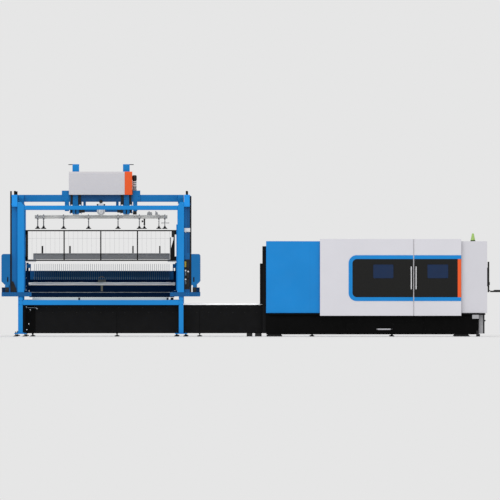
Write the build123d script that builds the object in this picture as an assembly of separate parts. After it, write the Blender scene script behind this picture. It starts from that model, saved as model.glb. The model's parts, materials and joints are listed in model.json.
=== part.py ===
"""Fiber laser cutting machine with a shuttle table and a two-bay sheet-handling tower.

Millimetres, +Z up, +X along the machine, -Y towards the operator.
Layout: X is 0 on the cabin's entry face, Y is 0 on the pallet line and Z is 0 on the floor.
Every named piece is written to parts/NAME.step with the origin at the bottom centre of the whole.
"""
import math
import os

from build123d import *

# Running clearance at every slide, overrun of every cut, thickness of light sheet metal
slide_gap = 0.3
cut_over = 5
sheet_metal = 5

# Sides of round pieces and of feet, and steps in a rounded corner
round_sides = 12
foot_sides = 6
corner_steps = 4
quarter_turn = 90

# Tower: place along the machine and columns, measured outwards from its middle
tower_x = -3972
column_in = 1840
column_wide = 160
column_out = column_in + column_wide
column_depth = 160
column_top = 3228
column_chamfer_high = 96
column_chamfer_wide = 64
front_column_y = -1150
rear_column_y = 3150

# Tower: legs, foot plates, bracket arms and cross beams
leg_inset = 34
leg_wide = 111
leg_in = column_in + leg_inset
leg_out = leg_in + leg_wide
foot_plate_long = 300
foot_plate_deep = 220
foot_plate_low = 60
foot_plate_thick = 20
anchor_hole = 18
anchor_spread = 164
arm_low = 960
arm_top = 1061
tie_low = 3043
tie_top = 3144
tie_depth = 120
cross_low = 756
cross_top = 876
bracket_in = 1440
bracket_out = 1560
bracket_thick = 16
bracket_lap = 28

# Tower: side frames with runway beams, rake beams and cassette arms
runway_wide = 136
runway_out = column_out + runway_wide
runway_low = 3132
runway_top = 3403
post_depth = 136
middle_post_y = 1300
rake_beam_wide = 80
rake_beam_in = column_in - rake_beam_wide
cassette_arm_long = 400
cassette_arm_in = column_out - cassette_arm_long
cassette_arm_high = 60
cassette_arm_depth = 90

# Tower: rails, end stops, ducts and housings
runway_rail_wide = 45
runway_rail_low = 3140
runway_rail_top = 3180
rake_rail_inset = 20
rake_rail_in = rake_beam_in + rake_rail_inset
rake_rail_wide = 36
rake_rail_high = 36
stop_inset = 45
stop_in = column_out + stop_inset
stop_wide = 36
stop_deep = 70
stop_high = 87
duct_wide = 41
duct_deep = 60
left_duct_low = 1240
left_duct_top = 3490
right_duct_low = 2000
right_duct_top = 3370
housing_wide = 208
housing_out = runway_out + duct_wide + housing_wide
housing_low = 1230
housing_top = 1980
housing_chamfer = 90
housing_round = 30
strut_inset = 33
strut_in = runway_out + duct_wide + strut_inset
strut_wide = 90
arm_long_in = 97
arm_short = 4
arm_in = rake_beam_in - arm_long_in
arm_out = housing_out - arm_short

# Cassette for raw sheets in the rear bay
cassette_half = 1644
cassette_front = 1330
cassette_deep = 1600
cassette_low = 1850
cassette_deck_low = 1973
cassette_top = 1997
cassette_lip = 12
cassette_beam_deep = 70
cassette_flange = 14
cassette_rib_wide = 60
cassette_rib_shares = (-0.8, -0.4, 0, 0.4, 0.8)
pin_size = 24
pin_top = 2172
pin_inset = 40
pin_shares = (-0.87, -0.465, 0.46, 0.855)

# Gate in the front opening
guide_wide = 26
guide_deep = 40
guide_low = 1100
guide_top = 2690
gate_margin = 64
gate_half = column_in - gate_margin
gate_low = 1812
gate_top = 2556
gate_bar = 30
gate_set_back = 6
gate_shoe_high = 110
gate_upright_shares = (-1, -0.5, 0, 0.5, 1)
gate_wire = 4
gate_wires = 8
gate_wire_level = 2354
gate_bracket_thick = 10
gate_bracket_wide = 100
gate_bracket_knee = 2090
gate_bracket_top = 2340

# Rake: carriage in the rear bay
rake_block_inset = 8
rake_block_in = rake_rail_in - rake_block_inset
rake_block_wide = 52
rake_block_top = 1150
rake_block_front = 2700
rake_back = 3030
rake_mast_front = 2880
rake_mast_top = 1770
rake_panel_thick = 40
rake_strip_share = 0.25
rake_panel_low = 1080
rake_panel_top = 1368
rake_strip_low = 1066
rake_sill_low = 966
rake_sill_margin = 5
rake_sill_half = rake_beam_in - rake_sill_margin

# Rake: shaft, gearmotor and comb
shaft_radius = 36
shaft_y = 2904
shaft_z = 1258
hub_radius = 42
hub_long = 42
hub_inset = 8
gear_radius = 98
gear_bore_radius = 60
gear_recess = 14
gear_z = 1315
gear_post_wide = 50
comb_margin = 37
comb_half = rake_block_in - comb_margin
comb_front = 2760
comb_back = 2860
comb_low = 1360
comb_top = 1572
comb_end_thick = 20
comb_end_top = 1740
comb_shoe_low = 1640
comb_shoe_front = 2790
comb_shoe_inset = 6
tine_thick = 8
tine_pitch = 50
tine_count = 66
tine_tip = 1040
tine_root_high = 64
tine_tip_high = 28
shank_front = 2700
shank_low = 1356
shank_top = 1740

# Bridge: girders, end trucks
truck_margin = 10
truck_wide = 140
truck_out = column_out - truck_margin
girder_half = truck_out - truck_wide
girder_in = 240
girder_out = 360
girder_low = 3235
truck_low = 3190
truck_half = 520
truck_chamfer = 80
bearing_long = 200
bearing_wide = 33
bearing_in = truck_out - bearing_wide

# Bridge: hoist frame
hoist_plate_in = 772
hoist_plate_step = 870
hoist_plate_out = 941
hoist_plate_low = 3012
hoist_plate_mid = 3250
hoist_plate_top = 3504
hoist_plate_thick = 30
mast_in = 528
mast_out = 688
mast_half = 80
guide_block_wide = 45
guide_block_half = 60
guide_block_low = 2964
guide_block_mid = 3060
guide_block_step = 3190
guide_block_top = 3300
cheek_thick = 16
cheek_low = 2950
cheek_top = 3316
hoist_tie_low = 2988
hoist_tie_top = 3048
hoist_tie_half = 425
hoist_tie_wide = 36
hoist_tie_front = -340
hoist_tie_back = -280

# Bridge: cover, end cover and motors
cover_left = -770
cover_right = 571
cover_end = 751
cover_front = -560
cover_back = -130
cover_top = 3960
cover_chamfer = 40
lift_motor_radius = 100
lift_motor_front = -430
lift_motor_z = 3006
lift_motor_step = 70
brake_radius = 48
brake_z = 3250
travel_motor_x = 805
travel_motor_y = -300
travel_motor_half = 54
travel_motor_waist = 46
travel_motor_low = 3516
travel_motor_top = 3876
motor_groove_count = 2
travel_gear_low = 2928

# Telescopic hoist
mast_low = 2940
mast_top = 4140
mast_wall = 12
flag_long = 96
flag_high = 18
flag_wide = 30
inner_mast_clear = 60
inner_mast_top = mast_top - inner_mast_clear

# Suction frame
bar_half = 1596
bar_low = 2830
bar_top = 2916
bar_half_wide = 40
spreader_half = 25
spreader_low = 2846
spreader_top = 2900
spreader_reach = 650
cup_reach = 600
stem_half = 11
cup_top = 2645
cup_low = 2585
cup_neck_radius = 24
cup_lip_radius = 60
cup_shares = (-0.955, -0.866, -0.565, -0.188, 0.256, 0.577, 0.872)
edge_share = 0.961
separator_share = 0.653
separator_half = 22
sensor_z = 2726
sensor_long = 200
sensor_high = 16
valve_shares = (0.695, 0.77)
valve_next_shares = (0.815, 0.855)
valve_top = 3010

# Shuttle table
shuttle_left = -5785
shuttle_right = -91
shuttle_low = 77
shuttle_top = 756
wall_in = 800
wall_out = 908
skin_thick = 12
skin_low = 95
skin_top = 610
skin_gap = 8
skin_shares = (0, 0.386, 0.735, 1)
shuttle_end_thick = 60
tie_box_high = 100
tie_box_deep = 120
tie_box_shares = (0.12, 0.386, 0.62, 0.86)

# Pallets and their rails
pallet_half = 1644
pallet_rail_in = 808
pallet_rail_wide = 50
pallet_a_low = 790
pallet_b_low = 600
pallet_a_half_wide = 870
pallet_b_half_wide = 785
pallet_beam_wide = 75
pallet_beam_high = 76
pallet_end_deep = 80
pallet_board_high = 70
slat_high = 75
slat_thick = 4
slat_count = 65
slat_inset = 14
slat_bevel = 18
lower_rail_in = 735
lower_rail_high = 34
rail_end_margin = 60

# Cabin: base
base_right = 5102
base_front = -1360
base_back = 1460
base_low = 50
base_deck = 500
base_top = 564
plinth_wide = 330
base_post_wide = 70
drawer_left = 1900
drawer_right = 3766
drawer_low = 100
drawer_top = 330
drawer_deep = 1500
drawer_wall = 8
chute_front_wide = 330
chute_back_wide = 120
drawer_front_thick = 20
drawer_handle_left = 2654
drawer_handle_right = 3012
drawer_handle_low = 154
drawer_handle_top = 202
drawer_handle_out = 36
drawer_handle_bar = 14
door_rail_deep = 70
door_rail_low = 520
door_rail_top = 556
door_rail_left = 60
door_rail_right = 5260

# Cabin: shell
cabin_front = -1400
cabin_back = 1500
cabin_top = 2287
cabin_wall = 40
module_right = 1291
main_right = 4680
pallet_clear = 836
pallet_travel = main_right - pallet_clear - pallet_half - tower_x
cabinet_wide = 622
cabinet_right = main_right + cabinet_wide
opening_wide = 1860
opening_inset = 510
opening_right = main_right - opening_inset
opening_left = opening_right - opening_wide
opening_low = 620
opening_top = 2140
entry_top = 2167
entry_half_wide = 1290
entry_way_half = 920
entry_way_top = 1050
shutter_left = -151
shutter_half = 955
shutter_low = 1054
shutter_top = 1752
shutter_guide_wide = 40
shutter_guide_low = 770
shutter_fold = 30

# Cabin: beacon, service column and operator panel
beacon_inset = 339
beacon_x = cabinet_right - beacon_inset
beacon_y = -1100
beacon_radius = 60
beacon_foot_high = 24
beacon_tip_radius = 22
beacon_top = 2477
service_right = 5242
service_low = 70
service_front = -1250
service_back = -1000
service_box_left = 4944
service_box_low = 427
panel_out = 18
panel_thick = 36
panel_x = cabinet_right + panel_out
panel_right = panel_x + panel_thick
panel_front = -1220
panel_back = -680
panel_low = 1063
panel_top = 1793
panel_bezel = 30
panel_screen_low = 1330
panel_recess = 6
panel_mount_inset = 140
tray_long = 401
tray_right = panel_right + tray_long
tray_thick = 36
tray_key_high = 14
tray_key_inset = 40
tray_pivot_radius = 12

# Cabin: sliding doors
door_low = 499
door_top = 2340
door_front = -1500
door_thick = 48
right_leaf_wide = 1142
door_split = main_right - right_leaf_wide
door_gap = 10
door_flange_in = -1340
door_flange_low = 2296
border_long = 1560
border_left = door_split - border_long
border_low = 852
border_top = 1951
border_band = 91
border_round = 140
border_proud = 8
insert_proud = 4
insert_thick = 20
orange_wide = 86
window_wide = 485
window_inset = 485
window_right = door_split - window_inset
window_left = window_right - window_wide
window_two_wide = 497
window_two_inset = 314
window_two_right = main_right - window_two_inset
window_two_left = window_two_right - window_two_wide
window_low = 1399
window_top = 1728
window_round = 24
window_thick = 10
handle_inset = 58
handle_low = 1133
handle_top = 1682
handle_radius = 17
handle_out = 60
handle_post_inset = 60
handle_post_half = 10

# Cutting gantry inside the cabin
beam_left = 120
beam_inset = 120
beam_right = main_right - beam_inset
beam_front = 960
beam_back = 1300
beam_top = 1250
beam_rail_wide = 40
beam_rail_high = 30
beam_rail_inset = 30
arm_x = 676
arm_half = 140
arm_front = -960
arm_z_low = 1345
arm_z_top = 1620
arm_tip_high = 150
saddle_half = 260
arm_rail_high = 30
arm_rail_deep = 22
arm_rail_inset = 18
carriage_half = 160
carriage_thick = 40
carriage_low = 1200
carriage_top = 1640
slide_wide = 50
slide_deep = 24
head_half = 70
head_deep = 110
head_low = 1200
head_top = 1560
nozzle_top_radius = 44
nozzle_tip_radius = 9
nozzle_low = 1092
nozzle_collar_high = 40

# Levelling feet
foot_radius = 54
foot_neck_radius = 30
foot_high = 22
spindle_half = 12
spindle_spread = 220
spindle_stub = 40
wedge_high = 50
wedge_top_inset = 34
wedge_half_deep = 140
wedge_inset = 60
left_wedge_left = 7
left_wedge_right = 386
right_wedge_left = 4507
right_wedge_right = 4884
base_foot_shares = (0.216, 0.5923)
shuttle_foot_shares = (0.03, 0.386, 0.735, 0.945, 0.985)


def block(x0, x1, y0, y1, z0, z1):
    """A box between two opposite corners."""
    size = Box(abs(x1 - x0), abs(y1 - y0), abs(z1 - z0))
    return Pos((x0 + x1) / 2, (y0 + y1) / 2, (z0 + z1) / 2) * size


def tower_block(side, u0, u1, y0, y1, z0, z1):
    """A box beside the tower's middle plane, on its left (-1) or right (1)."""
    return block(tower_x + side * u0, tower_x + side * u1, y0, y1, z0, z1)


def prism_y(points, y0, y1):
    """An outline of X and Z points, carried from y0 to y1."""
    face = make_face(Polyline(*[(x, y0, z) for x, z in points], close=True))
    return extrude(face, amount=y1 - y0, dir=(0, 1, 0))


def prism_x(points, x0, x1):
    """An outline of Y and Z points, carried from x0 to x1."""
    face = make_face(Polyline(*[(x0, y, z) for y, z in points], close=True))
    return extrude(face, amount=x1 - x0, dir=(1, 0, 0))


def round_x(radius, x0, x1, y, z):
    """A many-sided bar along X, for a round one."""
    plane = Plane(origin=(x0, y, z), x_dir=(0, 1, 0), z_dir=(1, 0, 0))
    return extrude(plane * RegularPolygon(radius, round_sides), amount=x1 - x0)


def round_y(radius, x, y0, y1, z):
    """A many-sided bar along Y, for a round one."""
    plane = Plane(origin=(x, y0, z), x_dir=(1, 0, 0), z_dir=(0, 1, 0))
    return extrude(plane * RegularPolygon(radius, round_sides), amount=y1 - y0)


def round_z(low_radius, top_radius, x, y, z0, z1, sides):
    """An upright many-sided piece, straight or tapered, for a round one."""
    high = z1 - z0
    wide = max(low_radius, top_radius)
    slope = abs(low_radius - top_radius) * math.cos(math.pi / sides) / high
    taper = math.degrees(math.atan(slope))
    piece = extrude(RegularPolygon(wide, sides), amount=high, taper=taper)
    if top_radius > low_radius:
        piece = Pos(0, 0, high) * Rot(2 * quarter_turn, 0, 0) * piece
    return Pos(x, y, z0) * piece


def corner(x, z, radius, start):
    """Outline points of a rounded corner, a quarter turn on from its start angle."""
    angles = [math.radians(start + quarter_turn * step / corner_steps) for step in range(corner_steps + 1)]
    return [(x + radius * math.cos(angle), z + radius * math.sin(angle)) for angle in angles]


def portal(y):
    """Legs, foot plates, bracket arms, columns, tie and cross beam in one plane across the tower."""
    y0 = y - column_depth / 2
    y1 = y + column_depth / 2
    half_leg = (leg_out - leg_in) / 2
    leg_mid = (leg_in + leg_out) / 2
    foot_top = foot_plate_low + foot_plate_thick
    solids = []
    for side in (-1, 1):
        x = tower_x + side * leg_mid
        solids.append(foot_plate(x, y))
        solids.append(tower_block(side, leg_in, leg_out, y - half_leg, y + half_leg, foot_top, arm_low))
        solids.append(tower_block(side, arm_in, arm_out, y0, y1, arm_low, arm_top))
        outline = [
            (column_in, arm_top),
            (column_out, arm_top),
            (column_out, column_top),
            (column_in + column_chamfer_wide, column_top),
            (column_in, column_top - column_chamfer_high),
        ]
        solids.append(prism_y([(tower_x + side * u, z) for u, z in outline], y0, y1))
    tie_y = tie_depth / 2
    solids.append(block(tower_x - column_in, tower_x + column_in, y - tie_y, y + tie_y, tie_low, tie_top))
    left = tower_x - leg_in
    right = tower_x + leg_in
    solids.append(block(left, right, y - half_leg, y + half_leg, cross_low, cross_top))
    return solids


def foot_plate(x, y):
    """Plate under a leg, with two anchor holes in front of and behind it."""
    z0 = foot_plate_low
    z1 = foot_plate_low + foot_plate_thick
    half_long = foot_plate_long / 2
    half_deep = foot_plate_deep / 2
    plate = block(x - half_long, x + half_long, y - half_deep, y + half_deep, z0, z1)
    for side in (-1, 1):
        hole = Cylinder(anchor_hole / 2, foot_plate_thick + cut_over)
        plate -= Pos(x, y + side * anchor_spread / 2, (z0 + z1) / 2) * hole
    return plate


def front_portal():
    """Front portal with the gate's guide bars behind its columns and brackets to the shuttle table."""
    solids = portal(front_column_y)
    back = front_column_y + column_depth / 2
    for side in (-1, 1):
        guide_back = back + guide_deep
        for u in (column_in - guide_wide, column_in):
            solids.append(tower_block(side, u, u + guide_wide, back, guide_back, guide_low, guide_top))
        leg_back = front_column_y + (leg_out - leg_in) / 2
        lap = bracket_lap - wall_out
        plate_top = shuttle_top + bracket_thick
        solids.append(tower_block(side, bracket_in, bracket_out, leg_back, lap, shuttle_top, plate_top))
    return solids


def rear_portal():
    """Rear portal."""
    return portal(rear_column_y)


def side_frame(side):
    """Sill, posts, runway beam, rake beam, cassette arms and housing struts of one side."""
    front = front_column_y + column_depth / 2
    back = rear_column_y - column_depth / 2
    solids = [
        tower_block(side, column_out, runway_out, front, back, arm_low, arm_top),
        tower_block(side, rake_beam_in, column_in, front, back, arm_low, arm_top),
    ]
    posts = (front, middle_post_y - post_depth / 2, back - post_depth)
    for y in posts:
        solids.append(tower_block(side, column_out, runway_out, y, y + post_depth, arm_top, runway_low))
    outer_front = front_column_y - column_depth / 2
    outer_back = rear_column_y + column_depth / 2
    ends = (outer_front, outer_back)
    solids.append(tower_block(side, column_out, runway_out, *ends, runway_low, runway_top))
    for y in posts[1:]:
        y0 = y + (post_depth - cassette_arm_depth) / 2
        z0 = cassette_low - cassette_arm_high
        solids.append(
            tower_block(side, cassette_arm_in, column_out, y0, y0 + cassette_arm_depth, z0, cassette_low)
        )
    for y in (front_column_y, rear_column_y):
        y0 = y - strut_wide / 2
        y1 = y + strut_wide / 2
        solids.append(tower_block(side, strut_in, strut_in + strut_wide, y0, y1, arm_top, housing_low))
    return solids


def left_side_frame():
    """Left side frame."""
    return side_frame(-1)


def right_side_frame():
    """Right side frame."""
    return side_frame(1)


def tower_rails():
    """Bridge rails with end stops on the runways, and the rake's rails."""
    front = front_column_y + column_depth / 2
    back = rear_column_y - column_depth / 2
    rail_in = column_out - runway_rail_wide
    solids = []
    for side in (-1, 1):
        solids.append(tower_block(side, rail_in, column_out, front, back, runway_rail_low, runway_rail_top))
        rake_out = rake_rail_in + rake_rail_wide
        rake_top = arm_top + rake_rail_high
        solids.append(tower_block(side, rake_rail_in, rake_out, front, back, arm_top, rake_top))
        stop_out = stop_in + stop_wide
        stop_top = runway_top + stop_high
        for y in (front, back - stop_deep):
            solids.append(tower_block(side, stop_in, stop_out, y, y + stop_deep, runway_top, stop_top))
    return solids


def cable_ducts():
    """Upright cable ducts on the outer faces of the front posts."""
    front = front_column_y + column_depth / 2
    back = front + duct_deep
    duct_out = runway_out + duct_wide
    left = tower_block(-1, runway_out, duct_out, front, back, left_duct_low, left_duct_top)
    right = tower_block(
        1, runway_out, runway_out + duct_wide, front, front + duct_deep, right_duct_low, right_duct_top
    )
    return [left, right]


def drive_housings():
    """Long folded housings beside the tower, chamfered at their lower outer edge."""
    inner = runway_out + duct_wide
    outline = [
        (inner, housing_low),
        (housing_out - housing_chamfer, housing_low),
        (housing_out, housing_low + housing_chamfer),
        (housing_out, housing_top - housing_round),
        (housing_out - housing_round, housing_top),
        (inner, housing_top),
    ]
    y0 = front_column_y - strut_wide / 2
    y1 = rear_column_y + strut_wide / 2
    return [prism_y([(tower_x + side * u, z) for u, z in outline], y0, y1) for side in (-1, 1)]


def cassette():
    """Deck, channel beams, ribs and pins of the raw-sheet cassette."""
    y0 = cassette_front
    y1 = cassette_front + cassette_deep
    x0 = tower_x - cassette_half
    x1 = tower_x + cassette_half
    lip = cassette_lip
    solids = [block(x0, x1, y0 - lip, y1 + lip, cassette_deck_low, cassette_top)]
    solids.append(cassette_beam(y0, 1))
    solids.append(cassette_beam(y1, -1))
    for share in cassette_rib_shares:
        x = tower_x + share * cassette_half
        half = cassette_rib_wide / 2
        inset = cassette_beam_deep
        solids.append(block(x - half, x + half, y0 + inset, y1 - inset, cassette_low, cassette_deck_low))
    for share in pin_shares:
        for y in (y0 + pin_inset, y1 - pin_inset - pin_size):
            x = tower_x + share * cassette_half
            half = pin_size / 2
            solids.append(block(x - half, x + half, y, y + pin_size, cassette_top, pin_top))
    return solids


def cassette_beam(y, inward):
    """One channel beam along the cassette, its flanges turned inwards."""
    web = cassette_flange
    depth = cassette_beam_deep
    outline = [
        (y, cassette_low),
        (y + inward * depth, cassette_low),
        (y + inward * depth, cassette_low + web),
        (y + inward * web, cassette_low + web),
        (y + inward * web, cassette_deck_low - web),
        (y + inward * depth, cassette_deck_low - web),
        (y + inward * depth, cassette_deck_low),
        (y, cassette_deck_low),
    ]
    return prism_x(outline, tower_x - cassette_half, tower_x + cassette_half)


def gate_plane():
    """Front and back of the gate's bars."""
    y0 = front_column_y + column_depth / 2 + gate_set_back
    return y0, y0 + gate_bar


def gate_frame():
    """Rails, uprights, guide shoes and brackets of the gate."""
    y0, y1 = gate_plane()
    x0 = tower_x - gate_half
    x1 = tower_x + gate_half
    bar = gate_bar
    solids = [
        block(x0, x1, y0, y1, gate_low, gate_low + bar),
        block(x0, x1, y0, y1, gate_top - bar, gate_top),
    ]
    reach = gate_half - bar / 2
    for share in gate_upright_shares:
        x = tower_x + share * reach
        solids.append(block(x - bar / 2, x + bar / 2, y0, y1, gate_low + bar, gate_top - bar))
    shoe_out = column_in - guide_wide - slide_gap
    for side in (-1, 1):
        for z in (gate_low, gate_top - gate_shoe_high):
            solids.append(tower_block(side, gate_half, shoe_out, y0, y1, z, z + gate_shoe_high))
    bracket = [
        (x1, gate_low),
        (x1 - gate_bracket_wide, gate_low),
        (x1 - gate_bracket_wide, gate_bracket_knee),
        (x1 - bar, gate_bracket_top),
        (x1, gate_bracket_top),
    ]
    solids.append(prism_y(bracket, y1, y1 + gate_bracket_thick))
    return solids


def gate_mesh():
    """Upright wires of the gate with one wire across behind them."""
    y0, y1 = gate_plane()
    bar = gate_bar
    mid = (y0 + y1) / 2
    solids = []
    reach = gate_half - bar / 2
    bay = reach * (gate_upright_shares[1] - gate_upright_shares[0])
    for upright in gate_upright_shares[:-1]:
        for index in range(1, gate_wires):
            x = tower_x + upright * reach + bay * index / gate_wires
            half = gate_wire / 2
            solids.append(block(x - half, x + half, mid - gate_wire, mid, gate_low + bar, gate_top - bar))
        left = tower_x + upright * reach + bar / 2
        right = tower_x + upright * reach + bay - bar / 2
        solids.append(
            block(left, right, mid, mid + gate_wire, gate_wire_level, gate_wire_level + gate_wire)
        )
    return solids


def rake_carriage():
    """Bearing blocks, upright guides, back panel, strip and sill of the rake's carriage."""
    block_out = rake_block_in + rake_block_wide
    block_low = arm_top + rake_rail_high + slide_gap
    panel_y = rake_back - rake_panel_thick
    solids = []
    for side in (-1, 1):
        solids.append(
            tower_block(
                side, rake_block_in, block_out, rake_block_front, rake_back, block_low, rake_block_top
            )
        )
        solids.append(
            tower_block(
                side, rake_block_in, block_out, rake_mast_front, rake_back, rake_block_top, rake_mast_top
            )
        )
    left = tower_x - rake_block_in
    right = tower_x + rake_block_in
    solids.append(block(left, right, panel_y, rake_back, rake_block_top, rake_panel_top))
    sill_left = tower_x - rake_sill_half
    sill_right = tower_x + rake_sill_half
    solids.append(block(sill_left, sill_right, panel_y, rake_back, rake_panel_low, rake_block_top))
    strip_y = panel_y - rake_strip_deep()
    solids.append(block(sill_left, sill_right, strip_y, rake_back, rake_strip_low, rake_panel_low))
    solids.append(block(sill_left, sill_right, panel_y, rake_back, rake_sill_low, rake_strip_low))
    return solids


def rake_strip_deep():
    """How far the strip stands out of the rake's panel."""
    return rake_strip_share * rake_panel_thick


def rake_gearmotor():
    """Round gear housing in front of the rake's panel, with its hub around the shaft and a post."""
    panel_y = rake_back - rake_panel_thick
    front = shaft_y + shaft_radius + slide_gap
    body = round_y(gear_radius, tower_x, front, panel_y, gear_z)
    body -= round_y(gear_bore_radius, tower_x, front - cut_over, front + gear_recess, gear_z)
    post = block(
        tower_x - gear_post_wide / 2,
        tower_x + gear_post_wide / 2,
        front,
        panel_y - rake_strip_deep(),
        rake_panel_low,
        gear_z - gear_radius + gear_recess,
    )
    return [body + post]


def rake_shaft():
    """Torsion shaft across the rake with a hub near each end."""
    left = tower_x - rake_block_in + slide_gap
    right = tower_x + rake_block_in - slide_gap
    hub_out = hub_inset + hub_long
    runs = (
        (shaft_radius, left, left + hub_inset),
        (hub_radius, left + hub_inset, left + hub_out),
        (hub_radius, right - hub_out, right - hub_inset),
        (shaft_radius, right - hub_inset, right),
    )
    solids = [round_x(radius, x0, x1, shaft_y, shaft_z) for radius, x0, x1 in runs]
    middle_run = Rot(0, quarter_turn, 0) * Cylinder(shaft_radius, right - left - 2 * hub_out)
    solids.append(Pos((left + right) / 2, shaft_y, shaft_z) * middle_run)
    return solids


def comb_beam():
    """Beam that carries the tines, with end plates, wings and guide shoes on the carriage's uprights."""
    left = tower_x - comb_half
    right = tower_x + comb_half
    wing_out = rake_block_in + rake_block_wide
    shoe_in = rake_block_in + comb_shoe_inset
    shoe_out = wing_out - comb_shoe_inset
    shoe_back = rake_mast_front - slide_gap
    inner = comb_half - comb_end_thick
    front = comb_shoe_front
    solids = [block(left, right, comb_front, comb_back, comb_low, comb_top)]
    for side in (-1, 1):
        solids.append(tower_block(side, inner, comb_half, front, comb_back, comb_top, comb_end_top))
        solids.append(tower_block(side, comb_half, wing_out, front, comb_back, comb_shoe_low, comb_end_top))
        depth = (comb_back, shoe_back)
        solids.append(tower_block(side, shoe_in, shoe_out, *depth, comb_shoe_low, comb_end_top))
    return solids


def comb_tines():
    """L-shaped tines: an upright shank on the beam and a tapered finger pointing forwards."""
    solids = []
    finger_top = shank_low + tine_root_high
    for index in range(tine_count):
        x0 = tower_x + (index - (tine_count - 1) / 2) * tine_pitch - tine_thick / 2
        x1 = x0 + tine_thick
        solids.append(block(x0, x1, shank_front, comb_front, shank_low, shank_top))
        outline = [
            (shank_front, shank_low),
            (shank_front, finger_top),
            (tine_tip, finger_top),
            (tine_tip, finger_top - tine_tip_high),
        ]
        solids.append(prism_x(outline, x0, x1))
    return solids


def bridge_girders():
    """Two girders across the tower, with end trucks and bearing blocks on the runway rails."""
    solids = []
    left = tower_x - girder_half
    right = tower_x + girder_half
    for side in (-1, 1):
        y0 = side * girder_in
        y1 = side * girder_out
        solids.append(block(left, right, y0, y1, girder_low, runway_top))
        outline = [
            (-truck_half, truck_low),
            (truck_half, truck_low),
            (truck_half, runway_top - truck_chamfer),
            (truck_half - truck_chamfer, runway_top),
            (truck_chamfer - truck_half, runway_top),
            (-truck_half, runway_top - truck_chamfer),
        ]
        x0 = tower_x + side * girder_half
        x1 = tower_x + side * truck_out
        solids.append(prism_x(outline, min(x0, x1), max(x0, x1)))
        for end in (-1, 1):
            y0 = end * (truck_half - bearing_long)
            y1 = end * truck_half
            z0 = runway_rail_top + slide_gap
            solids.append(tower_block(side, bearing_in, truck_out, y0, y1, z0, truck_low))
    return solids


def hoist_frame():
    """Bracket plates on the girders, guide cheeks beside the masts and the hung tie."""
    solids = []
    for side in (-1, 1):
        outline = [
            (hoist_plate_in, hoist_plate_low),
            (hoist_plate_step, hoist_plate_low),
            (hoist_plate_step, hoist_plate_mid),
            (hoist_plate_out, hoist_plate_mid),
            (hoist_plate_out, hoist_plate_top),
            (hoist_plate_in, hoist_plate_top),
        ]
        points = [(tower_x + side * u, z) for u, z in outline]
        solids.append(prism_y(points, -girder_out - hoist_plate_thick, -girder_out))
        solids.append(prism_y(points, girder_out, girder_out + hoist_plate_thick))
        for u in cheek_places():
            u1 = u + cheek_thick
            solids.append(tower_block(side, u, u1, -girder_in, girder_in, cheek_low, cheek_top))
        post_out = hoist_tie_half
        post_in = hoist_tie_half - hoist_tie_wide
        solids.append(
            tower_block(side, post_in, post_out, hoist_tie_front, hoist_tie_back, hoist_tie_top, girder_low)
        )
    left = tower_x - hoist_tie_half
    right = tower_x + hoist_tie_half
    solids.append(block(left, right, hoist_tie_front, hoist_tie_back, hoist_tie_low, hoist_tie_top))
    return solids


def cheek_places():
    """Inner faces of the cheeks beside a mast, measured from the tower's middle."""
    inner = mast_in - slide_gap - guide_block_wide - cheek_thick
    outer = mast_out + slide_gap + guide_block_wide
    return inner, outer


def mast_guides():
    """Black guide blocks between the cheeks and the masts, at two levels."""
    solids = []
    levels = ((guide_block_low, guide_block_mid), (guide_block_step, guide_block_top))
    for side in (-1, 1):
        for z0, z1 in levels:
            for u0 in (mast_in - slide_gap - guide_block_wide, mast_out + slide_gap):
                u1 = u0 + guide_block_wide
                solids.append(tower_block(side, u0, u1, -guide_block_half, guide_block_half, z0, z1))
    return solids


def cover_shell(left, right):
    """Folded cover, open below, with its long upper edges chamfered."""
    def hull(inset):
        y0 = cover_front + inset
        y1 = cover_back - inset
        z1 = cover_top - inset
        outline = [
            (y0, runway_top),
            (y1, runway_top),
            (y1, z1 - cover_chamfer),
            (y1 - cover_chamfer, z1),
            (y0 + cover_chamfer, z1),
            (y0, z1 - cover_chamfer),
        ]
        return prism_x(outline, tower_x + left + inset, tower_x + right - inset)

    return hull(0) - hull(sheet_metal)


def hoist_cover():
    """Light grey cover over the hoist."""
    return [cover_shell(cover_left, cover_right)]


def hoist_end_cover():
    """Orange end of the hoist's cover."""
    return [cover_shell(cover_right, cover_end)]


def bridge_motors():
    """Lift gearmotor with its brake, and the upright travel motor with its gears."""
    lift = round_y(lift_motor_radius, tower_x, lift_motor_front, hoist_tie_front, lift_motor_z)
    cap_front = lift_motor_front - hoist_tie_wide
    cap = round_y(lift_motor_step, tower_x, cap_front, lift_motor_front, lift_motor_z)
    brake = round_y(brake_radius, tower_x, lift_motor_front, -girder_out, brake_z)
    x = tower_x + travel_motor_x
    half = travel_motor_half
    y0 = travel_motor_y - half
    y1 = travel_motor_y + half
    gear = block(x - half, x + half, y0, y1, runway_top, travel_motor_low)
    plate_y = -girder_out - hoist_plate_thick
    lower = block(x - half + hoist_tie_wide / 2, x + half, plate_y, y1, travel_gear_low, hoist_plate_low)
    return [lift, cap, brake, gear, lower, *travel_motor(x)]


def travel_motor(x):
    """Upright motor: wide rings with narrow grooves between them."""
    count = 2 * motor_groove_count + 1
    step = (travel_motor_top - travel_motor_low) / count
    rings = []
    for index in range(count):
        radius = travel_motor_waist if index % 2 else travel_motor_half
        z0 = travel_motor_low + index * step
        rings.append(round_z(radius, radius, x, travel_motor_y, z0, z0 + step, round_sides))
    return rings


def outer_masts():
    """Square tubes of the hoist, closed above, each with a switch flag."""
    solids = []
    for side in (-1, 1):
        tube = tower_block(side, mast_in, mast_out, -mast_half, mast_half, mast_low, mast_top)
        wall = mast_wall
        hollow = tower_block(
            side,
            mast_in + wall,
            mast_out - wall,
            wall - mast_half,
            mast_half - wall,
            mast_low - cut_over,
            mast_top - wall,
        )
        solids.append(tube - hollow)
        half = flag_wide / 2
        solids.append(
            tower_block(side, mast_out, mast_out + flag_long, -half, half, mast_top - flag_high, mast_top)
        )
    return solids


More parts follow.
